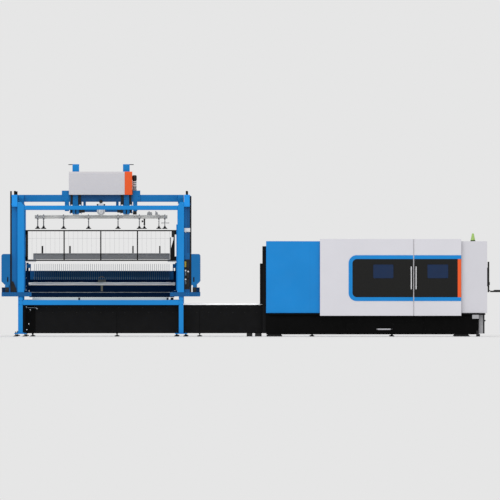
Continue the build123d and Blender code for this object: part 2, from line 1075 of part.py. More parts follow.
def inner_masts():
    """Inner bars of the telescopic hoist, from the suction bar up into the outer masts."""
    inset = mast_wall + slide_gap
    half = mast_half - inset
    return [
        tower_block(side, mast_in + inset, mast_out - inset, -half, half, bar_top, inner_mast_top)
        for side in (-1, 1)
    ]


def cup_places():
    """X places of the suction cups along the bar."""
    return [tower_x + share * bar_half for share in (*cup_shares, edge_share)]


def suction_bar():
    """Main bar of the suction frame with a spreader to the front and the back at each cup."""
    wide = bar_half_wide
    solids = [block(tower_x - bar_half, tower_x + bar_half, -wide, wide, bar_low, bar_top)]
    half = spreader_half
    for x in cup_places():
        for side in (-1, 1):
            solids.append(
                block(x - half, x + half, side * wide, side * spreader_reach, spreader_low, spreader_top)
            )
    return solids


def suction_fittings():
    """Cup stems, sheet separator, edge sensor and vacuum valves."""
    solids = []
    for x in cup_places():
        for side in (-1, 1):
            y = side * cup_reach
            half = stem_half
            solids.append(block(x - half, x + half, y - half, y + half, cup_top, spreader_low))
    x = tower_x + separator_share * bar_half
    half = separator_half
    solids.append(block(x - half, x + half, -half, half, cup_top, bar_low))
    x = cup_places()[-1] + stem_half
    y = -cup_reach
    half = sensor_high / 2
    solids.append(block(x, x + sensor_long / 2, y - half, y + half, sensor_z - half, sensor_z + half))
    for low, high in (valve_shares, valve_next_shares):
        x0 = tower_x + low * bar_half
        x1 = tower_x + high * bar_half
        solids.append(block(x0, x1, -bar_half_wide, bar_half_wide, bar_top, valve_top))
    return solids


def suction_cups():
    """Black bell cups under the stems and under the separator."""
    places = [(x, side * cup_reach) for x in cup_places() for side in (-1, 1)]
    places.append((tower_x + separator_share * bar_half, 0))
    return [round_z(cup_lip_radius, cup_neck_radius, x, y, cup_low, cup_top, round_sides) for x, y in places]


def shuttle_base():
    """Walls, skins, end wall and floor ties of the shuttle table."""
    solids = []
    for side in (-1, 1):
        solids.append(
            block(shuttle_left, shuttle_right, side * wall_in, side * wall_out, shuttle_low, shuttle_top)
        )
        long = shuttle_right - shuttle_left
        for low, high in zip(skin_shares[:-1], skin_shares[1:]):
            x0 = shuttle_left + low * long + skin_gap / 2
            x1 = shuttle_left + high * long - skin_gap / 2
            y1 = side * (wall_out + skin_thick)
            solids.append(block(x0, x1, side * wall_out, y1, skin_low, skin_top))
    end = shuttle_left + shuttle_end_thick
    solids.append(block(shuttle_left, end, -wall_in, wall_in, shuttle_low, pallet_b_low - lower_rail_high))
    for share in tie_box_shares:
        x = shuttle_left + share * (shuttle_right - shuttle_left)
        half = tie_box_deep / 2
        solids.append(block(x - half, x + half, -wall_in, wall_in, shuttle_low, shuttle_low + tie_box_high))
    return solids


def pallet_rails():
    """Upper rails on the table's walls and lower rails inside it, both running on into the cabin."""
    solids = []
    right = tower_x + pallet_travel + pallet_half + rail_end_margin
    left = shuttle_left
    upper_top = pallet_a_low - slide_gap
    lower_top = pallet_b_low - slide_gap
    lower_low = pallet_b_low - lower_rail_high
    rail_out = pallet_rail_in + pallet_rail_wide
    for side in (-1, 1):
        solids.append(block(left, right, side * pallet_rail_in, side * rail_out, shuttle_top, upper_top))
        solids.append(block(left, right, side * lower_rail_in, side * wall_in, lower_low, lower_top))
    return solids


def pallet_frame(x, low, half_wide):
    """Side beams, end beams and front board of a pallet."""
    top = low + pallet_beam_high
    inner = half_wide - pallet_beam_wide
    solids = []
    for side in (-1, 1):
        solids.append(
            block(x - pallet_half, x + pallet_half, side * inner, side * half_wide, low, top)
        )
        x0 = x + side * (pallet_half - pallet_end_deep)
        solids.append(block(x0, x + side * pallet_half, -inner, inner, low, top))
    board_y = slat_inset - half_wide
    board_top = top + pallet_board_high
    solids.append(block(x - pallet_half, x + pallet_half, -half_wide, board_y, top, board_top))
    return solids


def pallet_slats(x, low, half_wide):
    """Upright support slats across a pallet, with sloping ends."""
    z0 = low + pallet_beam_high
    z1 = z0 + slat_high
    half = half_wide - slat_inset
    outline = [(-half, z0), (half, z0), (half - slat_bevel, z1), (slat_bevel - half, z1)]
    solids = []
    for index in range(slat_count):
        x0 = x + (index - (slat_count - 1) / 2) * tine_pitch - slat_thick / 2
        solids.append(prism_x(outline, x0, x0 + slat_thick))
    return solids


def pallet_a_frame():
    """Frame of the upper pallet, at rest in the tower."""
    return pallet_frame(tower_x, pallet_a_low, pallet_a_half_wide)


def pallet_a_slats():
    """Slats of the upper pallet."""
    return pallet_slats(tower_x, pallet_a_low, pallet_a_half_wide)


def pallet_b_frame():
    """Frame of the lower pallet, at rest in the cabin."""
    return pallet_frame(tower_x + pallet_travel, pallet_b_low, pallet_b_half_wide)


def pallet_b_slats():
    """Slats of the lower pallet."""
    return pallet_slats(tower_x + pallet_travel, pallet_b_low, pallet_b_half_wide)


def machine_base():
    """Blocks of the base around the scrap chute and drawer, plinths, pallet walls and door rails."""
    solids = []
    drawer_back = base_front + drawer_deep
    gap = slide_gap
    solids.append(block(0, drawer_left - gap, base_front, drawer_back, base_low, base_deck))
    solids.append(block(drawer_right + gap, base_right, base_front, drawer_back, base_low, base_deck))
    solids.append(block(0, base_right, drawer_back, base_back, base_low, base_deck))
    x0 = drawer_left - gap
    x1 = drawer_right + gap
    chute_front = base_front + chute_front_wide
    chute_back = drawer_back - chute_back_wide
    solids.append(block(x0, x1, base_front, chute_front, drawer_top + gap, base_deck))
    solids.append(block(x0, x1, chute_back, drawer_back, drawer_top + gap, base_deck))
    solids.append(block(x0, x1, base_front, drawer_back, base_low, drawer_low - gap))
    solids.append(block(0, base_right, base_front, base_front + plinth_wide, base_deck, base_top))
    solids.append(block(0, base_right, base_back - plinth_wide, base_back, base_deck, base_top))
    rail_end = tower_x + pallet_travel + pallet_half + rail_end_margin
    for side in (-1, 1):
        post_out = wall_in + base_post_wide
        solids.append(block(0, rail_end, side * wall_in, side * post_out, base_deck, shuttle_top))
    rail_y = base_front - door_rail_deep
    solids.append(block(door_rail_left, door_rail_right, rail_y, base_front, door_rail_low, door_rail_top))
    return solids


def left_module():
    """Blue left module: front, roof, rear and end panels around the pallet entry."""
    wall = cabin_wall
    way = entry_way_half
    front = cabin_front + wall
    back = cabin_back - wall
    roof = cabin_top - wall
    return [
        block(0, module_right, cabin_front, front, base_top, cabin_top),
        block(0, module_right, front, back, roof, cabin_top),
        block(0, module_right, back, cabin_back, base_top, cabin_top),
        block(0, wall, front, -way, base_top, roof),
        block(0, wall, way, back, base_top, roof),
        block(0, wall, -way, way, entry_way_top, roof),
    ]


def main_cabin():
    """Roof, rear wall and front wall around the door opening."""
    wall = cabin_wall
    y0 = cabin_front
    y1 = cabin_front + wall
    return [
        block(module_right, main_right, y1, cabin_back - wall, cabin_top - wall, cabin_top),
        block(module_right, main_right, cabin_back - wall, cabin_back, base_top, cabin_top),
        block(module_right, opening_left, y0, y1, base_top, cabin_top),
        block(opening_right, main_right, y0, y1, base_top, cabin_top),
        block(opening_left, opening_right, y0, y1, opening_top, cabin_top),
        block(opening_left, opening_right, y0, y1, base_top, opening_low),
    ]


def right_cabinet():
    """Closed cabinet at the right end of the cabin."""
    return [block(main_right, cabinet_right, cabin_front, cabin_back, base_top, cabin_top)]


def entry_frame():
    """Black frame around the pallet entry, with the shutter's guides."""
    solids = []
    for side in (-1, 1):
        solids.append(
            block(shuttle_right, 0, side * entry_way_half, side * entry_half_wide, shuttle_low, entry_top)
        )
        y0 = side * (shutter_half + slide_gap)
        y1 = side * (shutter_half + shutter_guide_wide)
        solids.append(block(shutter_left, shuttle_right, y0, y1, shutter_guide_low, shutter_top))
    solids.append(block(shuttle_right, 0, -entry_way_half, entry_way_half, entry_way_top, entry_top))
    return solids


def entry_shutter():
    """Sliding shutter plate with folded upper and lower edges."""
    x1 = shuttle_right - slide_gap
    x0 = shutter_left
    mid = x1 - shutter_fold
    fold = shutter_fold
    half = shutter_half
    return [
        block(mid, x1, -half, half, shutter_low, shutter_top),
        block(x0, mid, -half, half, shutter_low, shutter_low + fold),
        block(x0, mid, -half, half, shutter_top - fold, shutter_top),
    ]


def signal_beacon():
    """Conical signal beacon on a low foot."""
    foot_top = cabin_top + beacon_foot_high
    foot = round_z(beacon_radius, beacon_radius, beacon_x, beacon_y, cabin_top, foot_top, round_sides)
    root = beacon_radius - sheet_metal
    lens = round_z(root, beacon_tip_radius, beacon_x, beacon_y, foot_top, beacon_top, round_sides)
    return [foot, lens]


def service_column():
    """Grey service column under the cabinet, with a connection box beside it."""
    column = block(base_right, service_right, service_front, service_back, service_low, base_top)
    box_front = base_front - door_rail_deep
    box = block(service_box_left, base_right, box_front, base_front, service_box_low, door_rail_low)
    return [column, box]


def operator_panel():
    """Operator panel on the cabinet's right side: recessed screen, wall mount and the tray's pivot rod."""
    body = block(panel_x, panel_right, panel_front, panel_back, panel_low, panel_top)
    screen = block(
        panel_right - panel_recess,
        panel_right + cut_over,
        panel_front + panel_bezel,
        panel_back - panel_bezel,
        panel_screen_low,
        panel_top - panel_bezel,
    )
    inset = panel_mount_inset
    front = panel_front + inset
    back = panel_back - inset
    mount = block(cabinet_right, panel_x, front, back, panel_low + inset, panel_top - inset)
    radius = tray_pivot_radius
    rod = Rot(quarter_turn, 0, 0) * Cylinder(radius, panel_back - panel_front)
    rod = Pos(panel_right + radius, (panel_front + panel_back) / 2, panel_low + tray_thick) * rod
    return [body - screen, mount, rod]


def keyboard_tray():
    """Folding tray with a key field, hung on the operator panel's pivot rod."""
    x0 = panel_right + 2 * tray_pivot_radius + slide_gap
    z0 = panel_low
    top = panel_low + tray_thick
    inset = tray_key_inset
    key_x = x0 + 2 * inset
    tray = block(x0, tray_right, panel_front, panel_back, z0, top)
    front = panel_front + inset
    keys = block(key_x, tray_right - inset, front, panel_back - inset, top, top + tray_key_high)
    return [tray, keys]


def door_panel(left, right, cut_left, cut_right, rounded):
    """Door leaf with a cut-out for its insert and a flange over the roof."""
    y0 = door_front
    y1 = door_front + door_thick
    leaf = block(left, right, y0, y1, door_low, door_top)
    hole = border_plate(cut_left, cut_right, border_band, y0 - cut_over, y1 + cut_over, rounded)
    flange = block(left, right, y1, door_flange_in, door_flange_low, door_top)
    hanger = block(left, right, y1, cabin_front - slide_gap, cabin_top - cabin_wall, door_flange_low)
    runner = block(left, right, y1, base_front - door_rail_deep - slide_gap, door_low, door_low + door_gap)
    lip_z = door_rail_top + slide_gap
    lip = block(left, right, y1, cabin_front - slide_gap, lip_z, lip_z + door_gap)
    return [leaf - hole, flange, hanger, runner, lip]


def border_plate(left, right, inset, y0, y1, rounded):
    """Plate with the border's outline; its left corners are rounded where asked."""
    x0 = left + inset if rounded else left
    z0 = border_low + inset
    z1 = border_top - inset
    outline = [(right, z0), (right, z1)]
    if rounded:
        radius = border_round - inset
        outline += corner(x0 + radius, z1 - radius, radius, quarter_turn)
        outline += corner(x0 + radius, z0 + radius, radius, 2 * quarter_turn)
    else:
        outline += [(x0, z1), (x0, z0)]
    return prism_y(outline, y0, y1)


def border_trim(left, right, rounded):
    """Raised border around an insert."""
    y0 = door_front - border_proud
    outer = border_plate(left, right, 0, y0, door_front, rounded)
    inner = border_plate(left, right, border_band, y0 - cut_over, door_front + cut_over, rounded)
    return [outer - inner]


def insert_panel(left, right, rounded, window_x0, window_x1):
    """Black insert with a rounded window hole, filling the door's cut-out."""
    y0 = door_front - insert_proud
    y1 = y0 + insert_thick
    plate = border_plate(left, right, border_band, y0, y1, rounded)
    return [plate - window_pane(window_x0, window_x1, y0 - cut_over, y1 + cut_over)]


def window_pane(x0, x1, y0, y1):
    """Rounded pane between two depths."""
    low = window_low + window_round
    top = window_top - window_round
    outline = corner(x1 - window_round, top, window_round, 0)
    outline += corner(x0 + window_round, top, window_round, quarter_turn)
    outline += corner(x0 + window_round, low, window_round, 2 * quarter_turn)
    outline += corner(x1 - window_round, low, window_round, 3 * quarter_turn)
    return prism_y(outline, y0, y1)


def handle(x):
    """Round bar handle on two posts."""
    y = door_front - handle_out + handle_radius
    solids = [round_z(handle_radius, handle_radius, x, y, handle_low, handle_top, round_sides)]
    half = handle_post_half
    for z in (handle_low + handle_post_inset, handle_top - handle_post_inset):
        y1 = door_front - insert_proud
        solids.append(block(x - half, x + half, y + handle_radius, y1, z - half, z + half))
    return solids


def left_leaf_right():
    """Right edge of the left door."""
    return door_split - door_gap / 2


def right_leaf_left():
    """Left edge of the right door."""
    return door_split + door_gap / 2


def insert_right_end():
    """Right edge of the right door's insert, where the orange strip begins."""
    return main_right - orange_wide


def door_left_panel():
    """Leaf of the left door."""
    return door_panel(module_right, left_leaf_right(), border_left, left_leaf_right() + cut_over, True)


def door_left_insert():
    """Black insert of the left door."""
    return insert_panel(border_left, left_leaf_right(), True, window_left, window_right)


def door_left_window():
    """Window of the left door."""
    y0 = door_front - insert_proud + slide_gap
    return [window_pane(window_left, window_right, y0, y0 + window_thick)]


def door_left_trim():
    """Blue border of the left door."""
    return border_trim(border_left, left_leaf_right(), True)


def door_left_handle():
    """Handle of the left door."""
    return handle(door_split - handle_inset)


def door_right_panel():
    """Leaf of the right door."""
    left = right_leaf_left()
    return door_panel(left, main_right, left - cut_over, insert_right_end(), False)


def door_right_insert():
    """Black insert of the right door."""
    return insert_panel(right_leaf_left(), insert_right_end(), False, window_two_left, window_two_right)


def door_right_window():
    """Window of the right door."""
    y0 = door_front - insert_proud + slide_gap
    return [window_pane(window_two_left, window_two_right, y0, y0 + window_thick)]


def door_right_trim():
    """Blue border of the right door."""
    return border_trim(right_leaf_left(), main_right, False)


def door_right_strip():
    """Orange strip at the right end of the insert."""
    z0 = border_low + border_band
    z1 = border_top - border_band
    return [block(insert_right_end(), main_right, door_front - insert_proud, door_front, z0, z1)]


def door_right_handle():
    """Handle of the right door."""
    return handle(door_split + handle_inset)


def gantry_beam():
    """Fixed beam along the back of the cabin with two rails on its top."""
    solids = [block(beam_left, beam_right, beam_front, beam_back, base_top, beam_top)]
    inset = beam_rail_inset
    for y in (beam_front + inset, beam_back - inset - beam_rail_wide):
        solids.append(
            block(beam_left, beam_right, y, y + beam_rail_wide, beam_top, beam_top + beam_rail_high)
        )
    solids.append(block(beam_left, beam_right, beam_front, base_back - plinth_wide, base_deck, base_top))
    return solids


def gantry_arm():
    """Saddle on the beam's rails and the cantilever arm with its two rails."""
    low = beam_top + beam_rail_high + slide_gap
    solids = [block(arm_x - saddle_half, arm_x + saddle_half, beam_front, beam_back, low, arm_z_low)]
    outline = [
        (beam_back, arm_z_low),
        (beam_back, arm_z_top),
        (arm_front, arm_z_top),
        (arm_front, arm_z_top - arm_tip_high),
        (beam_front, arm_z_low),
    ]
    solids.append(prism_x(outline, arm_x - arm_half, arm_x + arm_half))
    x0 = arm_x + arm_half
    x1 = x0 + arm_rail_deep
    for z in arm_rail_levels():
        solids.append(block(x0, x1, arm_front, beam_front, z, z + arm_rail_high))
    return solids


def arm_rail_levels():
    """Lower edges of the two rails on the arm's side."""
    upper = arm_z_top - arm_rail_inset - arm_rail_high
    lower = arm_z_top - arm_tip_high + arm_rail_inset
    return lower, upper


def carriage_faces():
    """X of the carriage plate's back, its front and the front of its upright slides."""
    back = arm_x + arm_half + arm_rail_deep + slide_gap
    front = back + carriage_thick
    return back, front, front + slide_deep


def y_carriage():
    """Carriage plate on the arm's rails with two upright slides."""
    back, front, slide = carriage_faces()
    solids = [block(back, front, -carriage_half, carriage_half, carriage_low, carriage_top)]
    for side in (-1, 1):
        y0 = side * (head_half - slide_wide)
        y1 = side * head_half
        solids.append(block(front, slide, y0, y1, carriage_low, carriage_top))
    return solids


def cutting_head():
    """Head body on the carriage's slides, with a collar and a tapered nozzle."""
    x0 = carriage_faces()[2] + slide_gap
    x1 = x0 + head_deep
    x = (x0 + x1) / 2
    body = block(x0, x1, -head_half, head_half, head_low, head_top)
    collar_low = head_low - nozzle_collar_high
    collar = round_z(nozzle_top_radius, nozzle_top_radius, x, 0, collar_low, head_low, round_sides)
    nozzle = round_z(nozzle_tip_radius, nozzle_top_radius, x, 0, nozzle_low, collar_low, round_sides)
    return [body, collar, nozzle]


def scrap_drawer():
    """Open drawer under the cutting area, with its front and pull bar."""
    y0 = base_front
    y1 = base_front + drawer_deep - slide_gap
    gap = drawer_wall
    tub = block(drawer_left, drawer_right, y0, y1, drawer_low, drawer_top)
    tub -= block(
        drawer_left + gap,
        drawer_right - gap,
        y0 + drawer_front_thick,
        y1 - gap,
        drawer_low + gap,
        drawer_top + cut_over,
    )
    bar = drawer_handle_bar
    y2 = base_front - drawer_handle_out
    levels = (drawer_handle_low, drawer_handle_top)
    solids = [tub, block(drawer_handle_left, drawer_handle_right, y2, y2 + bar, *levels)]
    for x in (drawer_handle_left, drawer_handle_right - bar):
        solids.append(block(x, x + bar, y2 + bar, base_front, *levels))
    return solids


def levelling_feet():
    """Feet under the legs, the shuttle table and the base, and the base's wedge mounts."""
    solids = []
    leg_mid = (leg_in + leg_out) / 2
    plate_top = foot_plate_low + foot_plate_thick
    for side in (-1, 1):
        for y in (front_column_y, rear_column_y):
            for end in (-1, 1):
                x = tower_x + side * leg_mid + end * spindle_spread / 2
                solids += foot(x, y, foot_plate_low)
                solids.append(stub(x, y, plate_top))
        for share in shuttle_foot_shares:
            x = shuttle_left + share * (shuttle_right - shuttle_left)
            solids += foot(x, side * (wall_in + wall_out) / 2, shuttle_low)
        edge = base_front if side < 0 else base_back
        y = edge - side * wedge_inset - side * wedge_half_deep
        for left, right in ((left_wedge_left, left_wedge_right), (right_wedge_left, right_wedge_right)):
            solids.append(wedge(left, right, y))
        for share in base_foot_shares:
            solids += foot(share * base_right, y, base_low)
    return solids


def foot(x, y, top):
    """Tapered foot with a square spindle up to the piece it carries."""
    pad = round_z(foot_radius, foot_neck_radius, x, y, 0, foot_high, foot_sides)
    half = spindle_half
    return [pad, block(x - half, x + half, y - half, y + half, foot_high, top)]


def stub(x, y, low):
    """Spindle end above a foot plate."""
    half = spindle_half
    return block(x - half, x + half, y - half, y + half, low, low + spindle_stub)


def wedge(left, right, y):
    """Wedge mount under the base."""
    inset = wedge_top_inset
    outline = [(left, 0), (right, 0), (right - inset, wedge_high), (left + inset, wedge_high)]
    return prism_y(outline, y - wedge_half_deep, y + wedge_half_deep)


MAKERS = (
    front_portal,
    rear_portal,
    left_side_frame,
    right_side_frame,
    tower_rails,
    cable_ducts,
    drive_housings,
    cassette,
    gate_frame,
    gate_mesh,
    rake_carriage,
    rake_gearmotor,
    rake_shaft,
    comb_beam,
    comb_tines,
    bridge_girders,
    hoist_frame,
    mast_guides,
    hoist_cover,
    hoist_end_cover,
    bridge_motors,
    outer_masts,
    inner_masts,
    suction_bar,
    suction_fittings,
    suction_cups,
    shuttle_base,
    pallet_rails,
    pallet_a_frame,
    pallet_a_slats,
    pallet_b_frame,
    pallet_b_slats,
    machine_base,
    left_module,
    main_cabin,
    right_cabinet,
    entry_frame,
    entry_shutter,
    signal_beacon,
    service_column,
    operator_panel,
    keyboard_tray,
    door_left_panel,
    door_left_insert,
    door_left_window,
    door_left_trim,
    door_left_handle,
    door_right_panel,
    door_right_insert,
    door_right_window,
    door_right_trim,
    door_right_strip,
    door_right_handle,
    gantry_beam,
    gantry_arm,
    y_carriage,
    cutting_head,
    scrap_drawer,
    levelling_feet,
)

def middle(low, high):
    """Half way between two places."""
    return (low + high) / 2


os.makedirs("parts", exist_ok=True)
nodes = {maker.__name__: Compound(maker()) for maker in MAKERS}
boxes = [node.bounding_box() for node in nodes.values()]
origin_x = middle(min(box.min.X for box in boxes), max(box.max.X for box in boxes))
origin_y = middle(min(box.min.Y for box in boxes), max(box.max.Y for box in boxes))
for name, node in nodes.items():
    export_step(Pos(-origin_x, -origin_y, 0) * node, os.path.join("parts", name + ".step"))
print("origin in the layout:", origin_x, origin_y)
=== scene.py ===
# %% [markdown]
# # A laser cutting cell, dressed in Blender
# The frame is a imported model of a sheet-metal cutting cell: a blue handling tower over a shuttle table on
# the left, a cutting cabin on the right. The solids are exact but plain. This lesson paints each one as its
# real material, replaces the few that need a finer form, and adds the small pieces that make it look built:
# motors, cups, feet, screws, seams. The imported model's frame is in metres, and most sizes here are written
# in millimetres because machine drawings are.

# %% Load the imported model
import itertools
import json
import math

import bmesh
import bpy
from mathutils import Matrix, Vector


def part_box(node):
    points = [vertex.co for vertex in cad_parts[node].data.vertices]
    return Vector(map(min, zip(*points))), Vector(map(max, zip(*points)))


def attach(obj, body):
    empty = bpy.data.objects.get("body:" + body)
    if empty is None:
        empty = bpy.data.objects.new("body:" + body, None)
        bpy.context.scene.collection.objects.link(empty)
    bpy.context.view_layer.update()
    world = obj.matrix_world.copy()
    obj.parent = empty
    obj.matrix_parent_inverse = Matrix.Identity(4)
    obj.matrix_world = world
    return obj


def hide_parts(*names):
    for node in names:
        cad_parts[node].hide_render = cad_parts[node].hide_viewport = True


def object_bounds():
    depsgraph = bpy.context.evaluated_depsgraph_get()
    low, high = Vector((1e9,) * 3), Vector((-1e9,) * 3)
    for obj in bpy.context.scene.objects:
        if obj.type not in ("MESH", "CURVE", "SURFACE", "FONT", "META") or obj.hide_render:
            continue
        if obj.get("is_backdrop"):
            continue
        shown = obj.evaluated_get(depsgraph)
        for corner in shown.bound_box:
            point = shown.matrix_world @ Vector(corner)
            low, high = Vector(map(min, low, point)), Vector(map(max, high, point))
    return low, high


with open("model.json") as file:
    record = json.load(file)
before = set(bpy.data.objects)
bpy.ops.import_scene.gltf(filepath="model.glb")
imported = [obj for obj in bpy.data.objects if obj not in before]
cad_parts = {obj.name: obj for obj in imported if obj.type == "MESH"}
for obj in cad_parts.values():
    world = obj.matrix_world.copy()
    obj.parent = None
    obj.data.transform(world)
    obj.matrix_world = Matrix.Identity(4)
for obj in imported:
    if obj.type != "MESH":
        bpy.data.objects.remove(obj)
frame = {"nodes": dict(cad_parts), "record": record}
nodes = frame["nodes"]
scene = bpy.context.scene
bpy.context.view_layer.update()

# %% [markdown]
# ## Camera
# The picture is a front view with almost no perspective: the side faces of the cabin can't be seen. A very
# long lens far away gives that, and stays a normal camera for the other views. Each of the picture's 500
# pixels is 24 mm of machine, so the distance follows from the lens.

# %% Long-lens camera
PIXEL = 0.024
PICTURE = 500
LENS = 1650
SENSOR = 36
FRONT_PLANE = -2.2
PICTURE_MIDDLE = (-0.089, 2.076)
CLIP = (10, 1000)
distance = PIXEL * PICTURE * LENS / SENSOR
camera_data = bpy.data.cameras.new("long_lens")
camera_data.lens = LENS
camera_data.sensor_width = SENSOR
camera_data.clip_start, camera_data.clip_end = CLIP
camera = bpy.data.objects.new("camera", camera_data)
scene.collection.objects.link(camera)
camera.location = (PICTURE_MIDDLE[0], FRONT_PLANE - distance, PICTURE_MIDDLE[1])
camera.rotation_euler = (math.radians(90), 0, 0)
scene.camera = camera
print("camera distance in metres:", round(distance, 1))

# %% [markdown]
# ## Colours and nodes
# Colours are read as sRGB hex values, the way a paint shop's screen shows them, and Blender's shaders want
# linear light, so one function converts them. A second small function adds a shader node, sets its values
# and links its inputs, which keeps each material below short enough to read. A noise stays mostly near its
# middle, so the part of it between 0.3 and 0.7 is what gets stretched to the values that a material wants.


# %% Colour and node helpers
def srgb(code):
    """Linear RGBA of an sRGB hex colour."""
    parts = [int(code[i : i + 2], 16) / 255 for i in (1, 3, 5)]
    return (*[c / 12.92 if c <= 0.04045 else ((c + 0.055) / 1.055) ** 2.4 for c in parts], 1)


def add(tree, kind, inputs=None, **settings):
    """A new node with its settings; an input is a value or another node's output."""
    node = tree.nodes.new(kind)
    for name, value in settings.items():
        setattr(node, name, value)
    for socket, value in (inputs or {}).items():
        if isinstance(value, bpy.types.NodeSocket):
            tree.links.new(value, node.inputs[socket])
        else:
            node.inputs[socket].default_value = value
    return node


def empty_material(name):
    """A new node material with its output, and where a point lies on the piece, in metres."""
    material = bpy.data.materials.new(name)
    material.use_nodes = True
    tree = material.node_tree
    tree.nodes.clear()
    output = add(tree, "ShaderNodeOutputMaterial")
    point = add(tree, "ShaderNodeTexCoord").outputs["Object"]
    return material, tree, output, point


NOISE_RANGE = {"From Min": 0.3, "From Max": 0.7}
print("blue paint in linear light:", [round(c, 3) for c in srgb("#0C81CB")])

# %% [markdown]
# ## Powder coat
# Nearly every panel and beam is sheet steel with a baked polyester powder coat. The powder melts into a
# skin with a fine orange peel, half gloss, and its colour drifts a little from panel to panel. Real orange
# peel has waves of 2 to 4 mm, too fine for a picture where one pixel is 24 mm, so it is drawn with 14 mm
# waves. The black frames have a coarse textured coat, which is rougher and breaks up the highlights. Several
# blues and greys each have a coat of their own. The deep, housing, arm and navy blues are the blue paint
# drawn darker, as painted shade for parts that stand in shade, and the pale tine blue is painted light.

# %% Powder coat
PEEL_MM = 14
PEEL_DEEP = 0.001
DRIFT_MM = 1100
SMEARS_PER_M = 6.0
TEXTURED = {"drift": 0.15, "peel": 0.35}


def powder_coat(name, colour, rough=0.38, drift=0.05, peel=0.12, shine=0.14):
    """Baked powder coat on sheet steel, with orange peel and a slow drift of colour."""
    material, tree, output, point = empty_material(name)
    cloud = add(tree, "ShaderNodeTexNoise", {"Vector": point, "Scale": 1000 / DRIFT_MM, "Detail": 4.0})
    ends = {**NOISE_RANGE, "Value": cloud.outputs["Fac"], "To Min": 1 - drift, "To Max": 1 + drift}
    value = add(tree, "ShaderNodeMapRange", ends).outputs["Result"]
    tint = add(tree, "ShaderNodeHueSaturation", {"Color": srgb(colour), "Value": value})
    smear = add(tree, "ShaderNodeTexNoise", {"Vector": point, "Scale": SMEARS_PER_M, "Detail": 3.0})
    ends = {**NOISE_RANGE, "Value": smear.outputs["Fac"], "To Min": rough - 0.05, "To Max": rough + 0.07}
    gloss = add(tree, "ShaderNodeMapRange", ends).outputs["Result"]
    waves = add(tree, "ShaderNodeTexNoise", {"Vector": point, "Scale": 1000 / PEEL_MM, "Detail": 2.0})
    relief = {"Height": waves.outputs["Fac"], "Strength": peel, "Distance": PEEL_DEEP}
    skin = add(tree, "ShaderNodeBump", relief)
    shader = add(
        tree,
        "ShaderNodeBsdfPrincipled",
        {
            "Base Color": tint.outputs["Color"],
            "Roughness": gloss,
            "Normal": skin.outputs["Normal"],
            "IOR": 1.5,
            "Specular IOR Level": shine,
        },
    )
    tree.links.new(shader.outputs["BSDF"], output.inputs["Surface"])
    return material


blue_coat = powder_coat("polyester_powder_coat_blue", "#0C81CB")
bright_blue_coat = powder_coat("polyester_powder_coat_bright_blue", "#1790E4")
# Painted shade: the deep blue is the blue paint drawn darker for blue parts that stand in shade.
deep_blue_shade_coat = powder_coat("polyester_powder_coat_deep_blue_painted_shade", "#006FB2")
# Painted shade: the navy is the blue paint drawn near black for blue parts in deep shade.
navy_shade_coat = powder_coat("polyester_powder_coat_navy_painted_shade", "#07284C", rough=0.5, shine=0.04)
comb_coat = powder_coat("polyester_powder_coat_comb_blue", "#1F6199", rough=0.5, shine=0.05)
# Painted light: the tines are drawn a pale blue so that they read light where they stand in shade.
tine_painted_light_coat = powder_coat("powder_coat_tine_blue_painted_light", "#6E8CA4", rough=0.55, drift=0.12, shine=0.06)
# Painted shade: a darker copy of the blue for the drive housings and the right side frame, which stand in
# shade.
housing_shade_coat = powder_coat("polyester_powder_coat_housing_blue_painted_shade", "#0063A0")
# Painted shade: a darker copy of the blue for the arms, the girder web and the tie in the cover's shadow, and
# the right post.
arm_shade_coat = powder_coat("polyester_powder_coat_arm_blue_painted_shade", "#04528A")
white_coat = powder_coat("polyester_powder_coat_grey_white", "#D4D3D9", drift=0.02)
cover_coat = powder_coat("polyester_powder_coat_light_grey", "#CAC8CC", drift=0.02)
cabinet_coat = powder_coat("polyester_powder_coat_pale_grey", "#CECDD3", drift=0.02)
orange_coat = powder_coat("polyester_powder_coat_orange", "#E85A26", drift=0.03)
black_coat = powder_coat("textured_powder_coat_black", "#0E0E0F", rough=0.55, shine=0.07, **TEXTURED)
base_coat = powder_coat("textured_powder_coat_deep_black", "#090909", rough=0.6, shine=0.03, **TEXTURED)
grey_coat = powder_coat("polyester_powder_coat_grey", "#8A8B8D", rough=0.45)
column_coat = powder_coat("polyester_powder_coat_mid_grey", "#A6A6A9", rough=0.45)
iron_coat = powder_coat("cast_iron_grey_lacquer", "#8A8A7E", rough=0.5, drift=0.08, peel=0.3)
pale_coat = powder_coat("zinc_primer_pale_grey", "#BFCACC", rough=0.5, drift=0.06)
graphite_coat = powder_coat(
    "textured_powder_coat_graphite", "#242425", rough=0.5, drift=0.1, peel=0.3, shine=0.15
)
print("powder coats:", len([m for m in bpy.data.materials if "powder_coat" in m.name]))

# %% [markdown]
# ## Bare metals
# Shafts and rails are ground steel: bright, with fine lines along their length. The pallet slats are mild
# steel plate with a dull, blotchy rolling skin. Profiles are brushed and anodised aluminium, and handles
# are stainless steel. All are metals, so their colour goes into the reflection; they differ in roughness
# and in how far the pattern is stretched along the grain. A film of oxide or lacquer makes some of them
# less bare.

# %% Metals
GRAIN_MM = 9
SCRATCH_DEEP = 0.0006
BLOTCHES_PER_M = 7.0


